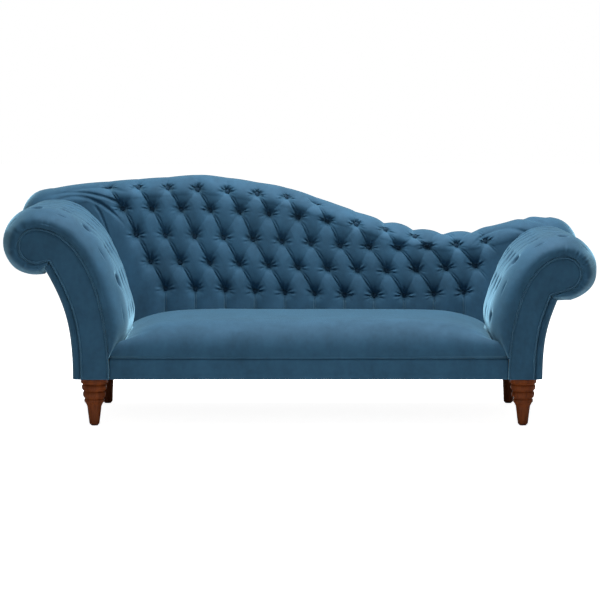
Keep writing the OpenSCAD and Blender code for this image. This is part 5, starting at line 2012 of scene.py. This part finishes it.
class Carcass:
    """The frame's own solids, which keep their shapes and get their finishes."""

    def build(self) -> None:
        """Dresses every solid by its slot in the record."""
        by_slot = {finish.value.name: finish for finish in Finish}
        for part in frame["record"]["subparts"]:
            node = frame["nodes"][part["node"]]
            dress(node, by_slot[part["material_slot"]])


@dataclass(frozen=True)
class Studio:
    """Pale floor, soft light and the camera at the photograph's view."""
    camera_place: tuple[float, float, float] = (0.0, -10.222, 1.274)
    camera_tilt: float = 85.297
    lens: float = 160.44
    sensor: float = 36.0
    key_power: float = 238.0
    key_size: tuple[float, float] = (2.6, 1.5)
    key_place: tuple[float, float, float] = (0.35, -0.12, 3.3)
    front_power: float = 22.0
    front_size: tuple[float, float] = (3.0, 2.0)
    front_place: tuple[float, float, float] = (-0.8, -5.0, 1.9)
    ambient: float = 0.19
    floor_tone: float = 0.86
    floor_glow: float = 0.92
    floor_half: float = 30.0

    def build_floor(self) -> None:
        """Floor that shows white to the camera and still takes the couch's shadow."""
        half = self.floor_half
        mesh = bpy.data.meshes.new("studio_floor")
        mesh.from_pydata([(-half, -half, 0), (half, -half, 0), (half, half, 0), (-half, half, 0)], [],
                         [(0, 1, 2, 3)])
        floor = bpy.data.objects.new("studio_floor", mesh)
        bpy.context.scene.collection.objects.link(floor)
        made = Shader("studio_floor")
        made.set(Base_Color=(*[self.floor_tone] * 3, 1.0), Roughness=0.9)
        made.relief(made.speckle(made.place, 3.0), 0.0001, 0.2)
        path = made.node("ShaderNodeLightPath")
        glow = made.node("ShaderNodeEmission")
        glow.inputs["Color"].default_value = (1.0, 1.0, 1.0, 1.0)
        seen = made.sum("MULTIPLY", path.outputs["Is Camera Ray"], self.floor_glow)
        made.feed(glow.inputs["Strength"], seen)
        both = made.node("ShaderNodeAddShader")
        made.feed(both.inputs[0], made.surface.outputs[0])
        made.feed(both.inputs[1], glow.outputs[0])
        made.feed(made.tree.nodes["Material Output"].inputs["Surface"], both.outputs[0])
        mesh.materials.append(made.material)

    def build_world(self) -> None:
        """White to the camera, a soft ambient light elsewhere."""
        world = bpy.data.worlds.new("studio_world")
        bpy.context.scene.world = world
        world.use_nodes = True
        tree = world.node_tree
        back = tree.nodes["Background"]
        path = tree.nodes.new("ShaderNodeLightPath")
        level = tree.nodes.new("ShaderNodeMapRange")
        level.inputs["To Min"].default_value = self.ambient
        level.inputs["To Max"].default_value = 1.0
        tree.links.new(path.outputs["Is Camera Ray"], level.inputs["Value"])
        tree.links.new(level.outputs[0], back.inputs["Strength"])
        back.inputs["Color"].default_value = (1.0, 1.0, 1.0, 1.0)

    def lamp(self, name: str, power: float, size: tuple[float, float], place: Sequence[float],
             aim: Sequence[float]) -> None:
        """Adds a soft area lamp.

        Args:
            name: Name of the lamp.
            power: Watts.
            size: Width and height.
            place: Where it hangs.
            aim: Point that it faces.
        """
        light = bpy.data.lights.new(name, "AREA")
        light.shape = "RECTANGLE"
        light.size, light.size_y = size
        light.energy = power
        made = bpy.data.objects.new(name, light)
        bpy.context.scene.collection.objects.link(made)
        made.location = place
        way = Vector(aim) - Vector(place)
        made.rotation_euler = way.to_track_quat("-Z", "Y").to_euler()

    def build(self) -> None:
        """Builds the studio."""
        scene = bpy.context.scene
        scene.view_settings.view_transform = "Standard"
        self.build_floor()
        self.build_world()
        self.lamp("key_overhead", self.key_power, self.key_size, self.key_place, (0.0, 0.1, 0.4))
        self.lamp("front_fill", self.front_power, self.front_size, self.front_place, (0.0, 0.0, 0.45))
        camera = bpy.data.cameras.new("photo_camera")
        camera.lens, camera.sensor_width = self.lens, self.sensor
        made = bpy.data.objects.new("photo_camera", camera)
        scene.collection.objects.link(made)
        made.location = self.camera_place
        made.rotation_euler = (math.radians(self.camera_tilt), 0.0, 0.0)
        scene.camera = made


def main() -> None:
    """Builds the couch in order."""
    logging.basicConfig(level=logging.INFO, format="%(name)s: %(message)s")
    for part in (Carcass(), Studio(), Back(), LEFT_ARM, RIGHT_ARM, Seat(), Legs()):
        part.build()


if __name__ == "__main__":
    main()
